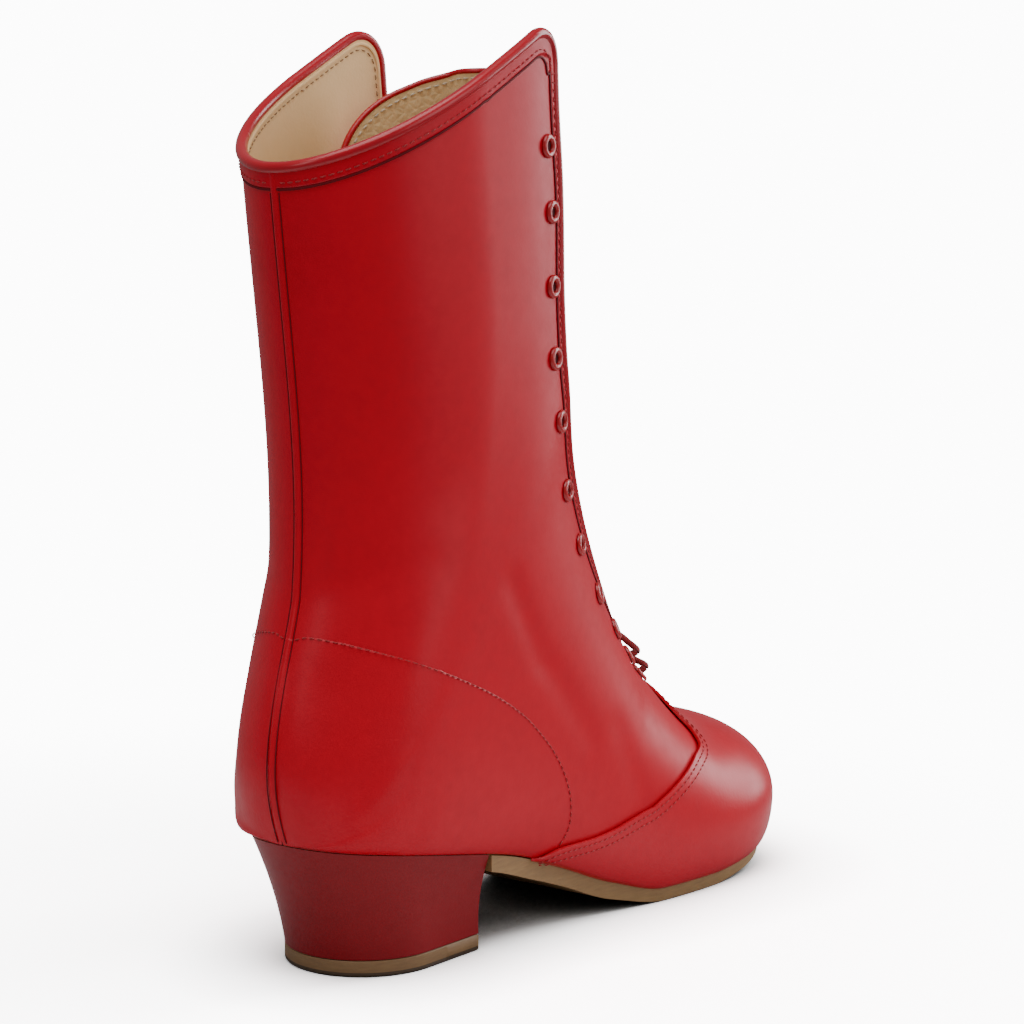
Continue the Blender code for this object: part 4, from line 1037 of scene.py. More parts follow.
@dataclass
class Shaft:
    """The upper: one leather wall from the toe to the collar, lined, with its band and seams."""

    last: Last
    looks: Finishes
    ridge: float = 0.0007
    seam_half: float = 0.0014
    run: float = 0.0007
    relaxed: float = 0.0009
    corner_reach: float = 15.5
    seam_ease: tuple = (3.0, -60.0)
    relax_steps: int = 80
    relax_from: tuple = (10.6, 1.2)
    relax_to: tuple = (16.4, 1.6)
    relax_turn: tuple = (1.9, 0.5)
    step_from: tuple = (6.6, 0.5)
    counter_line: tuple = (
        (32.1, 106.6, 16.61, 180), (30.5, 106.6, 16.40, 165), (25.7, 104.9, 15.84, 146),
        (16.0, 100.9, 14.73, 125), (0.4, 94.2, 13.17, 102), (-12.5, 88.6, 12.0, 98),
        (-23.7, 83.0, 10.86, 95), (-34.8, 76.4, 10.20, 95), (-44.1, 68.9, 9.70, 95),
        (-51.6, 61.5, 9.30, 98), (-57.0, 54.2, 8.98, 101), (-60.6, 46.5, 8.60, 110),
        (-61.9, 40.0, 8.45, 117), (-61.4, 34.0, 8.33, 129), (-58.0, 28.6, 8.33, 148),
    )
    throat_columns: tuple = (
        0.0030, 0.0044, 0.0048, 0.0052, 0.0054, 0.0057, 0.0060, 0.0066, 0.0076, 0.009, 0.0105, 0.0122, 0.014,
    )
    seam_columns: tuple = (
        0.0072, 0.0056, 0.0044, 0.0035, 0.0028, 0.0023, 0.0019, 0.0015, 0.0011, 0.0007, 0.0003, 0.0,
    )
    band_rows: tuple = (
        0.0125, 0.0105, 0.0090, 0.0080, 0.0074, 0.0071, 0.0068, 0.0064, 0.0057, 0.0048, 0.0032,
    )
    creases: tuple = (
        (-0.045, 0.092, -0.030, 0.118, 0.0050, 0.0006), (-0.072, 0.062, -0.050, 0.088, 0.0055, 0.0006),
        (0.004, 0.128, 0.024, 0.120, 0.0060, 0.0005), (-0.098, 0.038, -0.088, 0.062, 0.0050, 0.0004),
    )

    def counter_route(self, side: int) -> tuple:
        """Rows and angles along the counter's edge, a curve in side view laid on the skin.

        Args:
            side: Half of the boot.

        Returns:
            Rows and angles from the back seam to the sole's edge.
        """
        line = through(np.array(self.counter_line), 260)
        target = np.stack([0 * line[:, 0], line[:, 0] / 1000, line[:, 1] / 1000], -1)
        start = np.minimum(np.radians(line[:, 3]), math.pi - 0.02)
        rows, angles = self.last.settle(target, line[:, 2], start, side, (0.0, 1.0, 1.0))
        seam = smooth(np.linspace(*self.seam_ease, 260))
        return rows, angles + (math.pi - angles) * seam

    def columns(self, rows: np.ndarray, side: int) -> np.ndarray:
        """Columns of the grid, dense beside the throat and the back seam.

        Args:
            rows: Rows.
            side: Half of the boot.

        Returns:
            Their distances from the middle line, a row of them for each row.
        """
        last = self.last
        rise = np.clip((rows - last.slit_row) / last.slit_round, 0.0, 1.0)
        slit = np.sqrt(1 - (1 - rise)**2)
        start = (last.throat(rows, side) + last.inset) * slit - last.inset
        near = start[:, None] + np.array([last.inset, *self.throat_columns, last.corner])
        back = last.girth(rows, side)[:, None] - np.array(self.seam_columns)
        share = np.linspace(0, 1, 58)[1:-1]
        middle = near[:, -1:] + share * (back[:, :1] - near[:, -1:])
        return np.concatenate([near, middle, back], axis=1)

    def grid(self, side: int) -> tuple:
        """Grid of the outer face, its rows bent to the collar's outline.

        Args:
            side: Half of the boot.

        Returns:
            Rows, angles and heights over the skin.
        """
        last = self.last
        top = np.array([last.collar_row])
        apart = self.columns(top, side)[0] - last.throat(top, side)
        rim = last.collar(side, apart, last.inset)
        fade = 1 - last.drop(apart[-1], last.inset) / last.drop(apart, last.inset)
        drop = (last.collar_row - rim) * fade
        nominal = np.concatenate([
            np.linspace(0, 5, 16), np.linspace(5.2, 6.2, 6), np.linspace(6.3, 6.8, 9),
            np.linspace(6.95, 20.1, 110),
        ])
        share = smooth((nominal - self.corner_reach) / (last.collar_row - self.corner_reach))
        rows = nominal[:, None] - drop[None, :] * share[:, None]
        band = (*self.band_rows, last.inset)
        upper = [last.collar(side, apart, last.inset, below - last.inset) for below in band]
        rows = np.sort(np.concatenate([rows, upper]), axis=0)
        flat = rows.ravel()
        column = np.tile(np.arange(rows.shape[1]), rows.shape[0])
        places = self.columns(flat, side)[np.arange(len(flat)), column]
        angles = last.angle(flat, places, side).reshape(rows.shape)
        angles[:, -1] = math.pi
        angles[rows[:, 0] <= last.slit_row, 0] = 0.0
        from_throat = places.reshape(rows.shape) - last.throat(rows, side)
        from_top = (last.collar(side, apart, last.inset) - rows) * last.pitch(side, apart) + last.inset
        step = smooth((last.throat_band + self.run - from_throat) / self.run)
        step = step * smooth((rows - self.step_from[0]) / self.step_from[1])
        collar = smooth((last.band + self.run - from_top) / self.run)
        heights = last.step * np.maximum(step, collar)
        off_seam = last.girth(rows, side) - places.reshape(rows.shape)
        round_ridge = np.sqrt(np.clip(1 - (off_seam / self.seam_half)**2, 0, 1))
        heights = np.maximum(heights, self.ridge * round_ridge * smooth(rows - last.seam_row))
        return rows, angles, heights

    def relax(self, points: np.ndarray, rows: np.ndarray, angles: np.ndarray) -> np.ndarray:
        """Even out the heel's corner: each point moves towards the mean of its four neighbours.

        Args:
            points: Grid of points.
            rows: Their rows.
            angles: Their angles.

        Returns:
            The points, none moved further than the relaxed distance.
        """
        start, end, turn = self.relax_from, self.relax_to, self.relax_turn
        weight = smooth((rows - start[0]) / start[1]) * smooth((end[0] - rows) / end[1])
        weight = weight * smooth((angles - turn[0]) / turn[1])
        weight = 0.5 * weight[1:-1, 1:-1, None]
        moved = points.copy()
        for _ in range(self.relax_steps):
            mean = moved[:-2, 1:-1] + moved[2:, 1:-1] + moved[1:-1, :-2] + moved[1:-1, 2:]
            moved[1:-1, 1:-1] += weight * (0.25 * mean - moved[1:-1, 1:-1])
        shift = moved - points
        size = np.linalg.norm(shift, axis=-1, keepdims=True)
        return points + shift * np.minimum(1.0, self.relaxed / np.maximum(size, 1e-9))

    def fold(self, points: np.ndarray, side: int) -> np.ndarray:
        """Soft creases at the ankle's front, the instep and above the heel, each a Gaussian along a line.

        Args:
            points: Points.
            side: Half of the boot.

        Returns:
            The points moved inwards.
        """
        depth = np.zeros(points.shape[:-1])
        for y0, z0, y1, z1, width, deep in self.creases:
            line = np.array([y1 - y0, z1 - z0])
            size = np.linalg.norm(line)
            line = line / size
            offset = points[..., 1:] - (y0, z0)
            run = np.clip(offset @ line, 0, size)
            away = np.linalg.norm(offset - run[..., None] * line, axis=-1)
            depth += deep * np.exp(-(away / width)**2)
        moved = points.copy()
        moved[..., 0] -= side * depth * smooth(np.abs(points[..., 0]) / 0.02)
        return moved

    def counter_distance(self, points: np.ndarray, side: int) -> np.ndarray:
        """Signed distance to the counter's edge, its sign from how often a line along +Y crosses it.

        Args:
            points: Points.
            side: Half of the boot.

        Returns:
            Distances, positive on the heel's side.
        """
        rows, angles = self.counter_route(side)
        line = self.last.skin(rows, angles, side)
        flat = points.reshape(-1, 3)
        away = np.full(len(flat), 1.0)
        for spot in line:
            away = np.minimum(away, np.linalg.norm(flat - spot, axis=1))
        outline = np.concatenate([line[:, 1:], [[-0.058, -0.02], [0.08, -0.02], [0.08, line[0, 2]]]])
        inside = np.zeros(len(flat), dtype=bool)
        for (y0, z0), (y1, z1) in zip(outline, np.roll(outline, -1, axis=0)):
            spans = (z0 > flat[:, 2]) != (z1 > flat[:, 2])
            cross = y0 + (flat[:, 2] - z0) * (y1 - y0) / (z1 - z0 + 1e-12)
            inside ^= spans & (flat[:, 1] < cross)
        return np.where(inside, away, -away).reshape(points.shape[:-1])

    def build(self) -> None:
        """Build the upper with its lining."""
        piece = Piece("boot_upper")
        for side in Side:
            rows, angles, heights = self.grid(side.value)
            faces = []
            for height in (heights, np.full(rows.shape, -self.last.wall)):
                points = self.last.raised(rows, angles, side.value, height)
                faces.append(self.fold(self.relax(points, rows, angles), side.value))
            slit = np.searchsorted(rows[:, 0], self.last.slit_row + 0.01) - 1
            seam = np.searchsorted(rows[:, -1], self.last.seam_row + 0.01)
            walled(piece, *faces, skin_uv(rows, angles), self.counter_distance(faces[0], side.value),
                   (np.s_[slit:, 0], np.s_[:seam, -1], np.s_[-1]))
        piece.build([self.looks.red, self.looks.lining, self.looks.binding], "red_leather",
                    ("upper",), weld=True)


@dataclass
class Vamp:
    """The toe panel that lies over the upper, with its curved edge across the instep."""

    last: Last
    looks: Finishes
    thickness: float = 0.0010
    edge_turn: float = 0.975
    height: float = 0.0006
    low_drop: float = 0.0005
    line: tuple = (
        (0.00, 6.62), (0.10, 6.58), (0.15, 6.42), (0.18, 6.20), (0.22, 5.78), (0.26, 5.76),
        (0.33, 6.13), (0.45, 6.72), (0.53, 7.15), (0.71, 7.83), (0.84, 8.38), (1.00, 8.60),
    )

    def edge_rows(self, turns: np.ndarray) -> np.ndarray:
        """Return the rows of the vamp's edge at shares of the half turn."""
        line = np.array(self.line)
        return hermite(line[:, 0], line[:, 1], turns)

    def seam(self, inside: float, side: int) -> tuple:
        """Rows and angles of a line beside the vamp's edge.

        Args:
            inside: Distance from the edge towards the toe.
            side: Half of the boot.

        Returns:
            Rows and angles, the row moved by the distance over the row's pitch across the edge.
        """
        turns = np.linspace(0.005, self.edge_turn - 0.05, 260)
        rows = self.edge_rows(turns)
        angles = turns * math.pi
        edge = self.last.skin(rows, angles, side)
        tangent = unit(np.gradient(edge, axis=0))
        across = unit(np.cross(tangent, self.last.normal(rows, angles, side)) * side)
        toe = np.sign(np.sum(across * (edge - self.last.skin(rows - 0.1, angles, side)), -1, keepdims=True))
        target = edge - across * toe * inside
        for _ in range(30):
            target[1:-1] = 0.25 * target[:-2] + 0.5 * target[1:-1] + 0.25 * target[2:]
        return self.last.settle(target, rows, angles, side)

    def build(self) -> None:
        """Build the panel, its grid squeezed between the toe and its edge."""
        piece = Piece("boot_vamp")
        fine = np.linspace(0, 1, 64)**0.9 * 0.94
        shares = np.concatenate([fine, [0.95, 0.96, 0.97, 0.98, 0.99, 1.0]])
        turns = np.concatenate([np.linspace(0, 0.30, 44), np.linspace(0.31, self.edge_turn, 56)])
        for side in Side:
            rows = shares[:, None] * self.edge_rows(turns)[None, :]
            angles = np.broadcast_to(turns * math.pi, rows.shape)
            height = self.height - self.low_drop * smooth((turns - 0.9) / 0.07)
            height = np.broadcast_to(height, rows.shape)
            points = self.last.raised(rows, angles, side.value, height)
            piece.add(points, sheet_faces(*rows.shape), skin_uv(rows, angles))
        made = piece.build([self.looks.vamp], "red_leather", ("vamp",), weld=True)
        give_wall(made, self.thickness)
        round_edges(made, 0.00035)


@dataclass
class Binding:
    """Rolled binding along the throat and the collar."""

    last: Last
    looks: Finishes

    def build(self) -> None:
        """Sweep the bead along the outline of both halves, in one run."""
        inset = 0.5 * self.last.bead
        height = self.last.step - 0.5 * self.last.wall
        last = self.last
        lines = [last.line(*last.edge_route(side.value, inset), side.value, height) for side in Side]
        path, normal = (joined(halves) for halves in zip(*lines))
        keep = spaced(path)
        piece = Piece("boot_binding")
        width = self.last.bead + 0.0006
        swept(piece, path[keep], normal[keep], width, width + 0.0002, 16)
        piece.build([self.looks.binding], "binding", ("edge_binding",))


@dataclass
class Tongue:
    """The tongue under the throat, crinkled gold lining inside and red leather outside."""

    last: Last
    looks: Finishes
    thickness: float = 0.0018
    wrinkle: float = 0.0007
    rows: tuple = (5.75, 19.5)
    gap: float = 0.046
    top_round: float = 1.35
    trace: tuple = (60, 120, 160)
    table: tuple = (
        (5.6, 0.21, 0.00, 0.046), (6.8, 0.32, 0.00, 0.046), (8.5, 0.45, 0.10, 0.048),
        (11.0, 0.56, 0.30, 0.052), (14.0, 0.62, 0.55, 0.066), (17.0, 0.74, 0.80, 0.104),
        (20.0, 0.82, 1.00, 0.150),
    )

    def read(self, column: int, row: np.ndarray) -> np.ndarray:
        """Return a column of the table at rows: 1 half girth, 2 roundness, 3 distance back."""
        table = np.array(self.table)
        return hermite(table[:, 0], table[:, column], row)

    def surface(self, row: np.ndarray, angle: np.ndarray, side: int) -> np.ndarray:
        """Section rounder than the upper's, standing back from it.

        Args:
            row: Rows.
            angle: Angles from the front.
            side: Half of the boot.

        Returns:
            Points of the tongue's outer face.
        """
        roundness = self.read(2, row)
        back = self.read(3, row) * self.last.leg_width
        front = self.last.skin(row, np.zeros_like(row), side)
        beside = self.last.skin(row, np.full_like(row, math.pi / 2), side)
        half = np.abs(beside[..., 0] - front[..., 0]) - self.gap * self.last.leg_width
        power = self.last.column("round_top", row)
        power = power + (2.0 - power) * roundness
        sine = np.sin(angle)
        spread = np.sign(sine) * np.abs(sine)**(2 / power)
        reach = np.abs(np.cos(angle))**(2 / power)
        along = unit((beside - front)[..., 1:])
        start = front.copy()
        start[..., 1:] = start[..., 1:] + along * back[..., None]
        point = start + (beside - start) * (1 - reach)[..., None]
        point[..., 0] = front[..., 0] + side * half * spread
        return point

    def half_sheet(self, side: int) -> np.ndarray:
        """Grid of one half, from the middle line to its edge and from the vamp to its round top.

        Args:
            side: Half of the boot.

        Returns:
            Points of the outer face.
        """
        low, high = self.rows
        share = 1 - (1 - np.linspace(0, 1, 34))**1.25
        up = (1 - np.linspace(1, 0, 110)**1.3)[:, None]
        corner = np.maximum(0.0, (share - 0.45) / 0.55)
        top = high + 0.55 * share**2
        top = top - self.top_round * (1 - np.sqrt(np.maximum(0.0, 1 - corner**2 * 0.97)))
        row = low + (top[None, :] - low) * up
        half = self.read(1, row) * self.last.leg_width
        level_count, turn_count, place_count = self.trace
        turn = np.linspace(0, math.pi / 2 + 0.25, turn_count)
        levels = np.linspace(low, high + 0.6, level_count)
        length = run_length(self.surface(*np.broadcast_arrays(levels[:, None], turn[None, :]), side))
        want = np.linspace(0, 0.86 * self.last.leg_width, place_count)
        angle_of = np.array([np.interp(want, run, turn) for run in length])
        i = np.clip((row - low) / (levels[1] - levels[0]), 0, level_count - 1.001)
        j = np.clip(half * share / want[-1] * (place_count - 1), 0, place_count - 1.001)
        a, b = i.astype(int), j.astype(int)
        f, g = i - a, j - b
        angle = (angle_of[a, b] * (1 - f) + angle_of[a + 1, b] * f) * (1 - g)
        angle = angle + (angle_of[a, b + 1] * (1 - f) + angle_of[a + 1, b + 1] * f) * g
        return self.surface(row, angle, side)

    def build(self) -> None:
        """Build the sheet with soft wrinkles, its edge roll and its light stitches."""
        halves = [self.half_sheet(side.value) for side in Side]
        grid = np.concatenate([halves[0][:, ::-1], halves[1][:, 1:]], axis=1)
        high = smooth((grid[..., 2] - 0.16) / 0.06)
        wave = np.sin(grid[..., 0] * 480 + np.sin(grid[..., 2] * 90) * 1.2)
        grid[..., 1] += self.wrinkle * high * wave * smooth((0.026 - np.abs(grid[..., 0])) / 0.012)
        inward = unit(np.cross(np.gradient(grid, axis=0), np.gradient(grid, axis=1)))
        inward = inward * np.sign(np.sum(inward[60, 33] * (0.0, 1.0, 0.0)))
        inside = grid + inward * self.thickness
        piece = Piece("boot_tongue")
        walled(piece, grid, inside, grid[..., [0, 2]])
        piece.build([self.looks.red, self.looks.tongue, self.looks.binding], "tongue_leather",
                    ("tongue",), weld=True)
        core = 0.5 * (grid + inside)
        path, lean = self.rim(core, inward, 0, 0, 50)
        roll = Piece("tongue_edge")
        swept(roll, path, lean, 0.0020, 0.0024, 10)
        roll.build([self.looks.binding], "tongue_leather")
        path, lean = self.rim(inside + inward * 0.0001, inward, 3, 2, 50)
        thread = Piece("tongue_stitches")
        stitched(thread, path, lean, 0.0027, 0.0019, 0.0006)
        thread.build([self.looks.light_thread], "tongue_leather")

    def rim(self, grid: np.ndarray, normals: np.ndarray, down: int, across: int, start: int) -> tuple:
        """Path beside the sheet's edge, up one side, over the top and down the other.

        Args:
            grid: Grid of the sheet.
            normals: Its normals.
            down: Rows between the path and the top.
            across: Columns between the path and the sides.
            start: Row where the path begins.

        Returns:
            Points and normals, without steps under 0.2 mm.
        """
        top = len(grid) - 1 - down
        found = []
        for sheet in (grid, normals):
            sides = sheet[start:top, across], sheet[start:top, -1 - across][::-1]
            found.append(np.concatenate([sides[0], sheet[top, across:len(sheet[0]) - across], sides[1]]))
        keep = spaced(found[0])
        return found[0][keep], found[1][keep]


@dataclass
class Stitching:
    """Rows of thread on the upper and the vamp, and the lining's stitch line and roll.

    A pair of distances is from the throat's outline and from the collar's.
    """

    last: Last
    looks: Finishes
    shaft: Shaft
    vamp: Vamp
    band_edge: tuple = (0.0060, 0.0078)
    band_stitches: tuple = (0.0042, 0.0058)
    lining_stitches: tuple = (0.0052, 0.0052)
    lining_roll: tuple = (0.0036, 0.0036)
    vamp_stitches: tuple = (0.0017, 0.0041)
    vamp_height: float = 0.00165
    groove: float = 0.0017
    groove_rows: tuple = (13.05, 20.40)
    proud: float = 0.00005

    def band(self, stitches: Piece, cords: Piece, side: int) -> None:
        """Lay the band's stitches and its lower edge, and a dark half-sunk cord of painted shade for the
        groove beside the back seam.

        Args:
            stitches: Piece of the red stitches.
            cords: Piece of the edges and of the dark cord of painted groove shade.
            side: Half of the boot.
        """
        last = self.last
        points, normals = last.line(*last.edge_route(side, *self.band_edge), side, 0.0002)
        swept(cords, points, normals, 0.0008, 0.0006, 8)
        # painted shade: a thin dark cord, half sunk, stands for the shade of the groove beside the back seam
        rows = np.linspace(*self.groove_rows, 200)
        angles = last.angle(rows, last.girth(rows, side) - self.groove, side)
        points, normals = last.line(rows, angles, side, self.proud)
        swept(cords, points, normals, 0.0004, 0.0004, 8)
        rows, angles = last.edge_route(side, *self.band_stitches)
        keep = angles < math.pi - 0.05
        stitched(stitches, *last.line(rows[keep], angles[keep], side, last.step + self.proud))

    def lining(self, stitches: Piece, rolls: Piece, side: int) -> None:
        """Lay the lining's stitches and the roll beside the binding.

        Args:
            stitches: Piece of the lining's stitches.
            rolls: Piece of the rolls.
            side: Half of the boot.
        """
        last = self.last
        route = last.edge_route(side, *self.lining_stitches)
        points, normals = last.line(*route, side, -last.wall - self.proud)
        stitched(stitches, points, -normals, 0.0026, 0.0018, 0.0005)
        points, normals = last.line(*last.edge_route(side, *self.lining_roll), side, -last.wall)
        swept(rolls, points, normals, 0.0012, 0.0011, 8)

    def panels(self, stitches: Piece, side: int) -> None:
        """Lay the stitches of the counter and the two rows of the vamp.

        Args:
            stitches: Piece of the red stitches.
            side: Half of the boot.
        """
        rows, angles = self.shaft.counter_route(side)
        keep = (angles < math.pi - 0.03) & (rows > 8.0)
        points, normals = self.last.line(rows[keep], angles[keep], side, 0.00012)
        stitched(stitches, points, normals, 0.0025, 0.0017, 0.0004)
        for inside in self.vamp_stitches:
            points, normals = self.last.line(*self.vamp.seam(inside, side), side, self.vamp_height)
            stitched(stitches, points, normals, 0.0024, 0.0017, 0.00045)

    def build(self) -> None:
        """Lay every stitch line on both halves."""
        red, cords, light, rolls = (
            Piece(name) for name in ("red_stitches", "band_edges_and_groove_shade", "lining_stitches", "lining_rolls"))
        for side in Side:
            self.band(red, cords, side.value)
            self.lining(light, rolls, side.value)
            self.panels(red, side.value)
        red.build([self.looks.red_thread], "red_leather")
        # band edges and the painted groove shade
        cords.build([self.looks.edge], "red_leather")
        light.build([self.looks.brown_thread], "lining_leather")
        rolls.build([self.looks.lining], "lining_leather")


@dataclass
class Eyelets:
    """Enamelled eyelets, eleven on each side, with a rolled rim."""

    last: Last
    looks: Finishes
    hole: float = 0.0017
    barrel: float = 0.0023
    flange: float = 0.0038
    rim: float = 0.0011
    inset: float = 0.0101
    sides: int = 28
    foot: float = 0.0002
    tail: float = 0.0006
    rows: tuple = (18.85, 17.77, 16.45, 14.85, 13.10, 11.50, 10.30, 9.25, 8.45, 7.78, 7.18)

    def seat(self, row: float, side: int) -> tuple:
        """Seat of an eyelet on the leather.

        Args:
            row: Row.
            side: Half of the boot.

        Returns:
            Its centre, the axis out of the leather and its angle.
        """
        at = np.array([row])
        angle = self.last.angle(at, self.last.throat(at, side) + self.inset, side)
        return self.last.skin(at, angle, side)[0], self.last.normal(at, angle, side)[0], float(angle[0])

    def profile(self) -> tuple:
        """Section of a ring: the rolled rim on the leather and the barrel through the wall.

        Returns:
            Radii and heights, in order round the section.
        """
        swell = np.linspace(0, math.pi, 11)
        radius = 0.5 * (self.hole + self.flange) + 0.5 * (self.flange - self.hole) * np.cos(swell)
        height = self.foot + self.rim * np.sin(swell)**0.8
        low = -self.last.wall - self.tail
        radius = np.concatenate([[self.barrel, self.flange], radius, [self.hole, self.hole, self.barrel]])
        return radius, np.concatenate([[self.foot, self.foot], height, [-0.001, low, low]])

    def build(self) -> None:
        """Turn the rim's rounded profile about each axis, over a dark disc of painted shade in the hole."""
        radius, height = self.profile()
        turn = np.linspace(0, 2 * math.pi, self.sides, endpoint=False)
        piece = Piece("boot_eyelets")
        names = []
        for side in Side:
            for number, row in enumerate(self.rows, 1):
                centre, axis, _ = self.seat(row, side.value)
                right = unit(np.cross(axis, (0.0, 0.0, 1.0)))
                up = np.cross(right, axis)
                spokes = np.cos(turn)[:, None] * right + np.sin(turn)[:, None] * up
                points = centre + spokes[:, None, :] * radius[None, :, None] + height[None, :, None] * axis
                piece.add(points, self.ring_faces(len(radius)))
                # painted shade: a dark disc under each ring stands for the shade inside the hole
                disc = np.concatenate([centre + spokes * self.barrel * 0.9, [centre]]) + axis * 0.00025
                fan = [[i, (i + 1) % self.sides, self.sides] for i in range(self.sides)]
                piece.add(disc, fan, look=1)
                names.append(f"eyelet_{side.name.lower()}_{number:02d}")
        piece.build([self.looks.enamel, self.looks.hole], "eyelet_enamel", tuple(names), weld=True)

    def ring_faces(self, count: int) -> np.ndarray:
        """Quads of a turned profile that closes on itself both ways.

        Args:
            count: Points of the profile.

        Returns:
            An array of four point numbers for each quad.
        """
        i, j = np.meshgrid(np.arange(self.sides), np.arange(count), indexing="ij")
        k, m = (i + 1) % self.sides, (j + 1) % count
        faces = np.stack([i * count + j, k * count + j, k * count + m, i * count + m], -1)
        return faces.reshape(-1, 4)


@dataclass
class Laces:
    """Woven lace, run through the two lowest pairs of eyelets."""

    last: Last
    looks: Finishes
    eyelets: Eyelets
    width: float = 0.0027
    laced: int = 2
    tail: tuple = (-0.0042, -0.0015, 0.0012)
    shoulder: float = 0.0004

    def build(self) -> None:
        """Carry each bar out of one eyelet, over the tongue and into the other."""
        rise = 2 * self.last.clearance + 0.001 + 0.5 * self.width
        for number, row in enumerate(self.eyelets.rows[-self.laced:], 1):
            route, lean = [], []
            for side in Side:
                centre, axis, angle = self.eyelets.seat(row, side.value)
                turns = np.linspace(angle, 0.0, 9)[1:]
                over = self.last.raised(np.full(8, row), turns, side.value, np.full(8, rise))
                tail = [centre + axis * out for out in self.tail]
                shoulder = centre + axis * (rise + self.shoulder) + 0.12 * (over[0] - centre)
                route.append(np.concatenate([tail, [shoulder], over[1:]]))
                lean.append(np.concatenate([np.repeat(unit(over[:1] - centre), 3, 0), axis[None],
                                            self.last.normal(np.full(7, row), turns[1:], side.value)]))
            path, normals = (through(joined(halves), 160) for halves in (route, lean))
            piece = Piece(f"lace_run_{number}")
            swept(piece, path, unit(normals), self.width * 0.98, self.width * 0.8, 16)
            piece.build([self.looks.lace], "lace", (f"lace_bar_{number}",))


@dataclass
class Bottom:
    """Outsole, heel block, top piece and insole."""

    last: Last
    looks: Finishes
    top_piece: float = 0.0050
    insole: float = 0.0020
    base_width: float = 0.051
    base_length: float = 0.054
    base_back: float = 0.0032
    hollow: float = 0.0012
    breast_y: float = -0.0262
    outline_points: int = 121
    outsole_round: float = 0.0012
    heel_round: float = 0.0007
    insole_rows: tuple = (0.9, 12.3)
    insole_gap: float = 0.0008
    eased: tuple = (0.0004, 0.0003)
    tread: tuple = (
        (0.00, 0.70, 0.16), (0.12, 0.85, 0.26), (0.26, 1.00, 0.30), (0.36, 1.00, 0.28),
        (0.50, 1.40, 0.16), (0.62, 1.40, 0.10), (0.72, 1.15, 0.06), (1.00, 1.00, 0.04),
    )

    def edge(self, rows: np.ndarray, side: int, out: np.ndarray) -> np.ndarray:
        """Sole's upper edge, moved out in plan.

        Args:
            rows: Rows.
            side: Half of the boot.
            out: Distances to move out.

        Returns:
            Points.
        """
        last = self.last
        angle = np.full(rows.shape, math.pi)
        point = last.skin(rows, angle, side)
        ahead = last.skin(np.minimum(rows + 0.02, last.seam_row), angle, side)
        tangent = unit((ahead - last.skin(np.maximum(rows - 0.02, 0), angle, side))[..., :2])
        normal = np.stack([side * tangent[..., 1], -side * tangent[..., 0]], -1)
        normal[rows < 1e-6] = (0.0, -1.0)
        normal[rows > last.seam_row - 1e-6] = (0.0, 1.0)
        point[..., :2] = point[..., :2] + normal * out[..., None]
        return point

    def breast_row(self) -> float:
        """Return the row of the sole's edge at the heel's breast."""
        rows = np.linspace(7, self.last.seam_row, 400)
        return float(np.interp(self.breast_y, self.last.skin(rows, np.full(400, math.pi), -1)[:, 1], rows))

    def plate(self, name: str, rows: np.ndarray, out: np.ndarray, low: float | None, high: float) -> Piece:
        """Loft a plate along the foot: each station is a bar across, its two faces joined at both ends.

        Args:
            name: Name of the piece.
            rows: Rows of the stations.
            out: How far the outline lies outside the sole's edge.
            low: Height of the lower face over the sole's line, or None for the tread's thickness.
            high: Height of the upper face.

        Returns:
            The closed plate.
        """
        last = self.last
        sides = [self.edge(rows, s, out) for s in (-1, 1)]
        share = np.linspace(0, 1, 15)
        bar = sides[0][:, None, :] + (sides[1] - sides[0])[:, None, :] * share[None, :, None]
        station = (bar[..., 1] - last.toe_y) / last.length
        tread = np.array(self.tread)
        thick = hermite(tread[:, 0], tread[:, 1], station) * last.sole
        line = last.sole_height(station)
        under = np.maximum(line - thick, 0.0) if low is None else line + low
        upper_face = np.stack([bar[..., 0], bar[..., 1], line + high], -1)
        lower_face = np.stack([bar[..., 0], bar[..., 1], under], -1)[:, ::-1]
        ring = np.concatenate([upper_face, lower_face], axis=1)
        piece = Piece(name)
        piece.add_capped(ring)
        return piece

    def soles(self) -> None:
        """Make the outsole with its rounded edge, and the insole on it."""
        last = self.last
        rows = np.concatenate([[0, 0.04, 0.1, 0.18, 0.28], np.linspace(0.4, self.breast_row() - 0.03, 92)])
        y = last.skin(rows, np.full(rows.shape, math.pi), -1)[:, 1]
        tread = np.array(self.tread)
        out = hermite(tread[:, 0], tread[:, 2], (y - last.toe_y) / last.length) * last.sole
        outsole = self.plate("boot_outsole", rows, out, None, -1.5 * last.clearance)
        made = outsole.build([self.looks.sole], "sole_leather", ("outsole",), weld=True)
        round_edges(made, self.outsole_round, 4, 40)
        rows = np.linspace(*self.insole_rows, 60)
        inset = np.full(60, -last.wall - self.insole_gap)
        rise = 1.5 * last.clearance
        insole = self.plate("boot_insole", rows, inset, rise, rise + self.insole)
        insole.build([self.looks.lining], "lining_leather", ("insole",), weld=True)

    def base(self, shares: np.ndarray) -> np.ndarray:
        """D outline of the heel's base: two straight sides and a half round back.

        Args:
            shares: Shares of the outline's length.

        Returns:
            Points in plan.
        """
        half = 0.5 * self.base_width
        back = 0.5 * self.base_length - self.base_back
        front = -0.5 * self.base_length
        straight = back - half * 1.02 - front
        arc = math.pi * half
        total = 2 * straight + arc
        run = shares * total
        turn = np.clip((run - straight) / arc, 0, 1) * math.pi
        x = -half * np.cos(turn)
        y = back - half * 1.02 * (1 - np.sin(turn))
        y = np.where(run < straight, front + run, np.where(run > total - straight, front + total - run, y))
        return np.stack([x, y], -1)

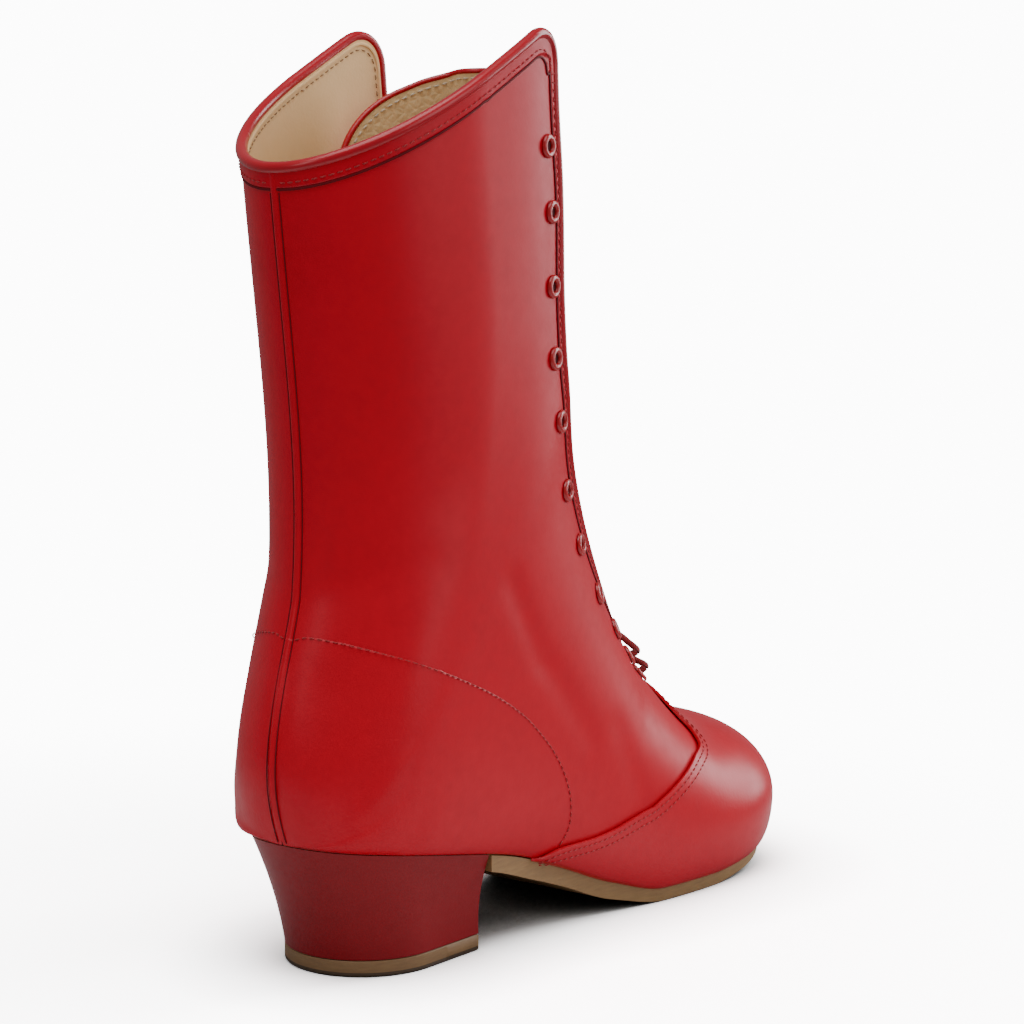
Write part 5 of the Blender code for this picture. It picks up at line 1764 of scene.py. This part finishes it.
    def heel(self) -> None:
        """Loft the covered block from its base to the seat, drawn in between by a parabola."""
        last = self.last
        shares = np.linspace(0, 1, self.outline_points)
        rows = np.linspace(self.breast_row(), last.seam_row, 120)
        outer = self.edge(rows, -1, np.zeros(120))
        inner = self.edge(rows, 1, np.zeros(120))[::-1]
        loop = np.concatenate([outer, inner[1:]])
        run = run_length(loop * (1, 1, 0))
        high = columns_at(shares * run[-1], run, loop[:, :2])
        low = self.base(shares)
        t = np.linspace(0, 1, 30)[:, None, None]
        plan = low + (high - low) * t
        size = np.linalg.norm(plan, axis=-1, keepdims=True)
        plan = plan - 4 * self.hollow * t * (1 - t) * plan / np.maximum(size, 1e-6)
        floor = self.top_piece + last.clearance
        top = last.sole_height_y(high[:, 1]) - last.clearance
        z = floor + (top[None, :] - floor) * t[..., 0]
        grid = np.concatenate([plan, z[..., None]], -1)
        piece = Piece("boot_heel")
        piece.add_capped(grid)
        made = piece.build([self.looks.heel], "heel_leather", ("heel",), weld=True)
        round_edges(made, self.heel_round, 3, 50)

    def lift(self) -> None:
        """Make the top piece, the base's outline carried up its thickness with eased edges."""
        outline = self.base(np.linspace(0, 1, self.outline_points))
        low, high = self.eased
        ease = np.array([low, 0.0, 0.0, high])
        z = np.array([0.0, low, self.top_piece - high, self.top_piece])
        size = np.linalg.norm(outline, axis=-1, keepdims=True)
        grid = outline[None] * (1 - ease[:, None, None] / size[None])
        grid = np.concatenate([grid, np.broadcast_to(z[:, None, None], grid.shape[:2] + (1,))], -1)
        piece = Piece("boot_top_piece")
        piece.add_capped(grid)
        piece.build([self.looks.top_piece], "top_piece", ("heel_top_piece",), weld=True)

    def build(self) -> None:
        """Build what lies under the upper, and the insole in it."""
        self.soles()
        self.heel()
        self.lift()


@dataclass
class Studio:
    """White studio: a pale floor, large soft lights and the photograph's camera."""

    turn: float = 38.0
    pitch: float = 7.97
    place: tuple = (-0.5829, 0.6692, 0.265)
    lens: float = 101.95
    white: float = 12.0
    room: float = 0.25
    floor_gain: float = 9.0
    floor_radius: float = 14.0
    floor_fade: tuple = (0.17, 0.40)
    aim: tuple = (0.0, -0.05, 0.12)
    lights: tuple = (
        ("key_front", (-0.44, -1.02, 0.50), (0.40, 0.9), 8.0),
        ("side", (-1.20, -0.30, 0.50), (0.8, 0.9), 4.2),
        ("top", (-0.1, 0.20, 1.15), (0.9, 0.9), 9.5),
        ("fill_back", (0.05, 1.05, 0.70), (0.25, 0.7), 1.5),
    )

    def put(self, name: str, data: bpy.types.ID, place: tuple, axes: tuple) -> bpy.types.Object:
        """Add an object at a place.

        Args:
            name: Its name.
            data: Its camera or light.
            place: Its place.
            axes: Its right, up and back directions.

        Returns:
            The object.
        """
        made = bpy.data.objects.new(name, data)
        matrix = np.eye(4)
        matrix[:3] = np.stack([*axes, place], -1)
        made.matrix_world = Matrix(matrix.tolist())
        bpy.context.scene.collection.objects.link(made)
        return made

    def camera(self) -> None:
        """Place the camera, its axes worked out from its turn and pitch."""
        turn, pitch = math.radians(self.turn), math.radians(self.pitch)
        level = math.cos(pitch)
        look = np.array([math.sin(turn) * level, -math.cos(turn) * level, -math.sin(pitch)])
        right = unit(np.cross(look, (0.0, 0.0, 1.0)))
        up = np.cross(right, look)
        data = bpy.data.cameras.new("camera")
        data.lens = self.lens
        data.sensor_width = 36.0
        bpy.context.scene.camera = self.put("camera", data, self.place, (right, up, -look))

    def light(self, name: str, place: tuple, size: tuple, power: float) -> None:
        """Add a soft rectangular light that looks at the boot's middle.

        Args:
            name: Its name.
            place: Its place.
            size: Its width and height.
            power: Its power in watts.
        """
        data = bpy.data.lights.new(name, "AREA")
        data.shape = "RECTANGLE"
        data.size, data.size_y = size
        data.energy = power
        back = unit(np.array(place) - self.aim)
        right = unit(np.cross((0.0, 0.0, 1.0), back))
        self.put(name, data, place, (right, np.cross(back, right), back))

    def floor(self) -> None:
        """Lay a round pale floor that turns into plain white away from the boot, with painted shadow from
        ambient occlusion darkening its colour near the boot.
        """
        mesh = bpy.data.meshes.new("floor")
        turn = np.linspace(0, 2 * math.pi, 96, endpoint=False)
        ring = np.stack([self.floor_radius * np.cos(turn), self.floor_radius * np.sin(turn),
                         np.full(96, -0.0002)], -1)
        mesh.from_pydata(ring.tolist(), [], [list(range(96))])
        made = bpy.data.objects.new("floor", mesh)
        bpy.context.scene.collection.objects.link(made)
        look, tree, shader = start_material("white_paper_floor")
        seen = node(tree, "ShaderNodeLightPath").outputs["Is Camera Ray"]
        power = ranged(tree, seen, 0.0, 1.0, 0.85, self.floor_gain)
        # painted shadow: ambient occlusion darkens the floor's colour under and beside the boot
        near = node(tree, "ShaderNodeAmbientOcclusion", {"Distance": 0.045}, samples=16)
        shade = math_of(tree, "POWER", near.outputs["AO"], 1.6)
        paper = node(tree, "ShaderNodeBsdfDiffuse", {"Color": math_of(tree, "MULTIPLY", shade, power)})
        place = node(tree, "ShaderNodeTexCoord").outputs["Object"]
        away = node(tree, "ShaderNodeVectorMath", {0: place}, operation="LENGTH").outputs["Value"]
        far = ranged(tree, away, *self.floor_fade, interpolation_type="SMOOTHSTEP")
        shine = ranged(tree, seen, 0.0, 1.0, self.room, self.white)
        glow = node(tree, "ShaderNodeEmission", {"Color": (1, 1, 1, 1), "Strength": shine})
        mix = node(tree, "ShaderNodeMixShader", {0: far, 1: paper.outputs[0], 2: glow.outputs[0]})
        tree.links.new(mix.outputs[0], tree.nodes["Material Output"].inputs["Surface"])
        tree.nodes.remove(shader)
        mesh.materials.append(look)

    def world(self) -> None:
        """Light the room softly and show it white behind the boot."""
        made = bpy.data.worlds.new("studio")
        bpy.context.scene.world = made
        made.use_nodes = True
        tree = made.node_tree
        seen = node(tree, "ShaderNodeLightPath").outputs["Is Camera Ray"]
        power = ranged(tree, seen, 0.0, 1.0, self.room, self.white)
        dress(tree, tree.nodes["Background"], {"Color": (1.0, 1.0, 1.0, 1.0), "Strength": power})

    def build(self) -> None:
        """Set up the camera, the floor and the lights."""
        self.camera()
        self.floor()
        self.world()
        for light in self.lights:
            self.light(*light)
        log.info("studio: ready")


def main() -> None:
    """Build the boot piece by piece."""
    logging.basicConfig(level=logging.INFO, format="%(name)s %(message)s")
    Studio().build()
    last = Last()
    looks = Finishes()
    shaft = Shaft(last, looks)
    shaft.build()
    vamp = Vamp(last, looks)
    vamp.build()
    Binding(last, looks).build()
    Tongue(last, looks).build()
    Stitching(last, looks, shaft, vamp).build()
    eyelets = Eyelets(last, looks)
    eyelets.build()
    Laces(last, looks, eyelets).build()
    Bottom(last, looks).build()


if __name__ == "__main__":
    main()
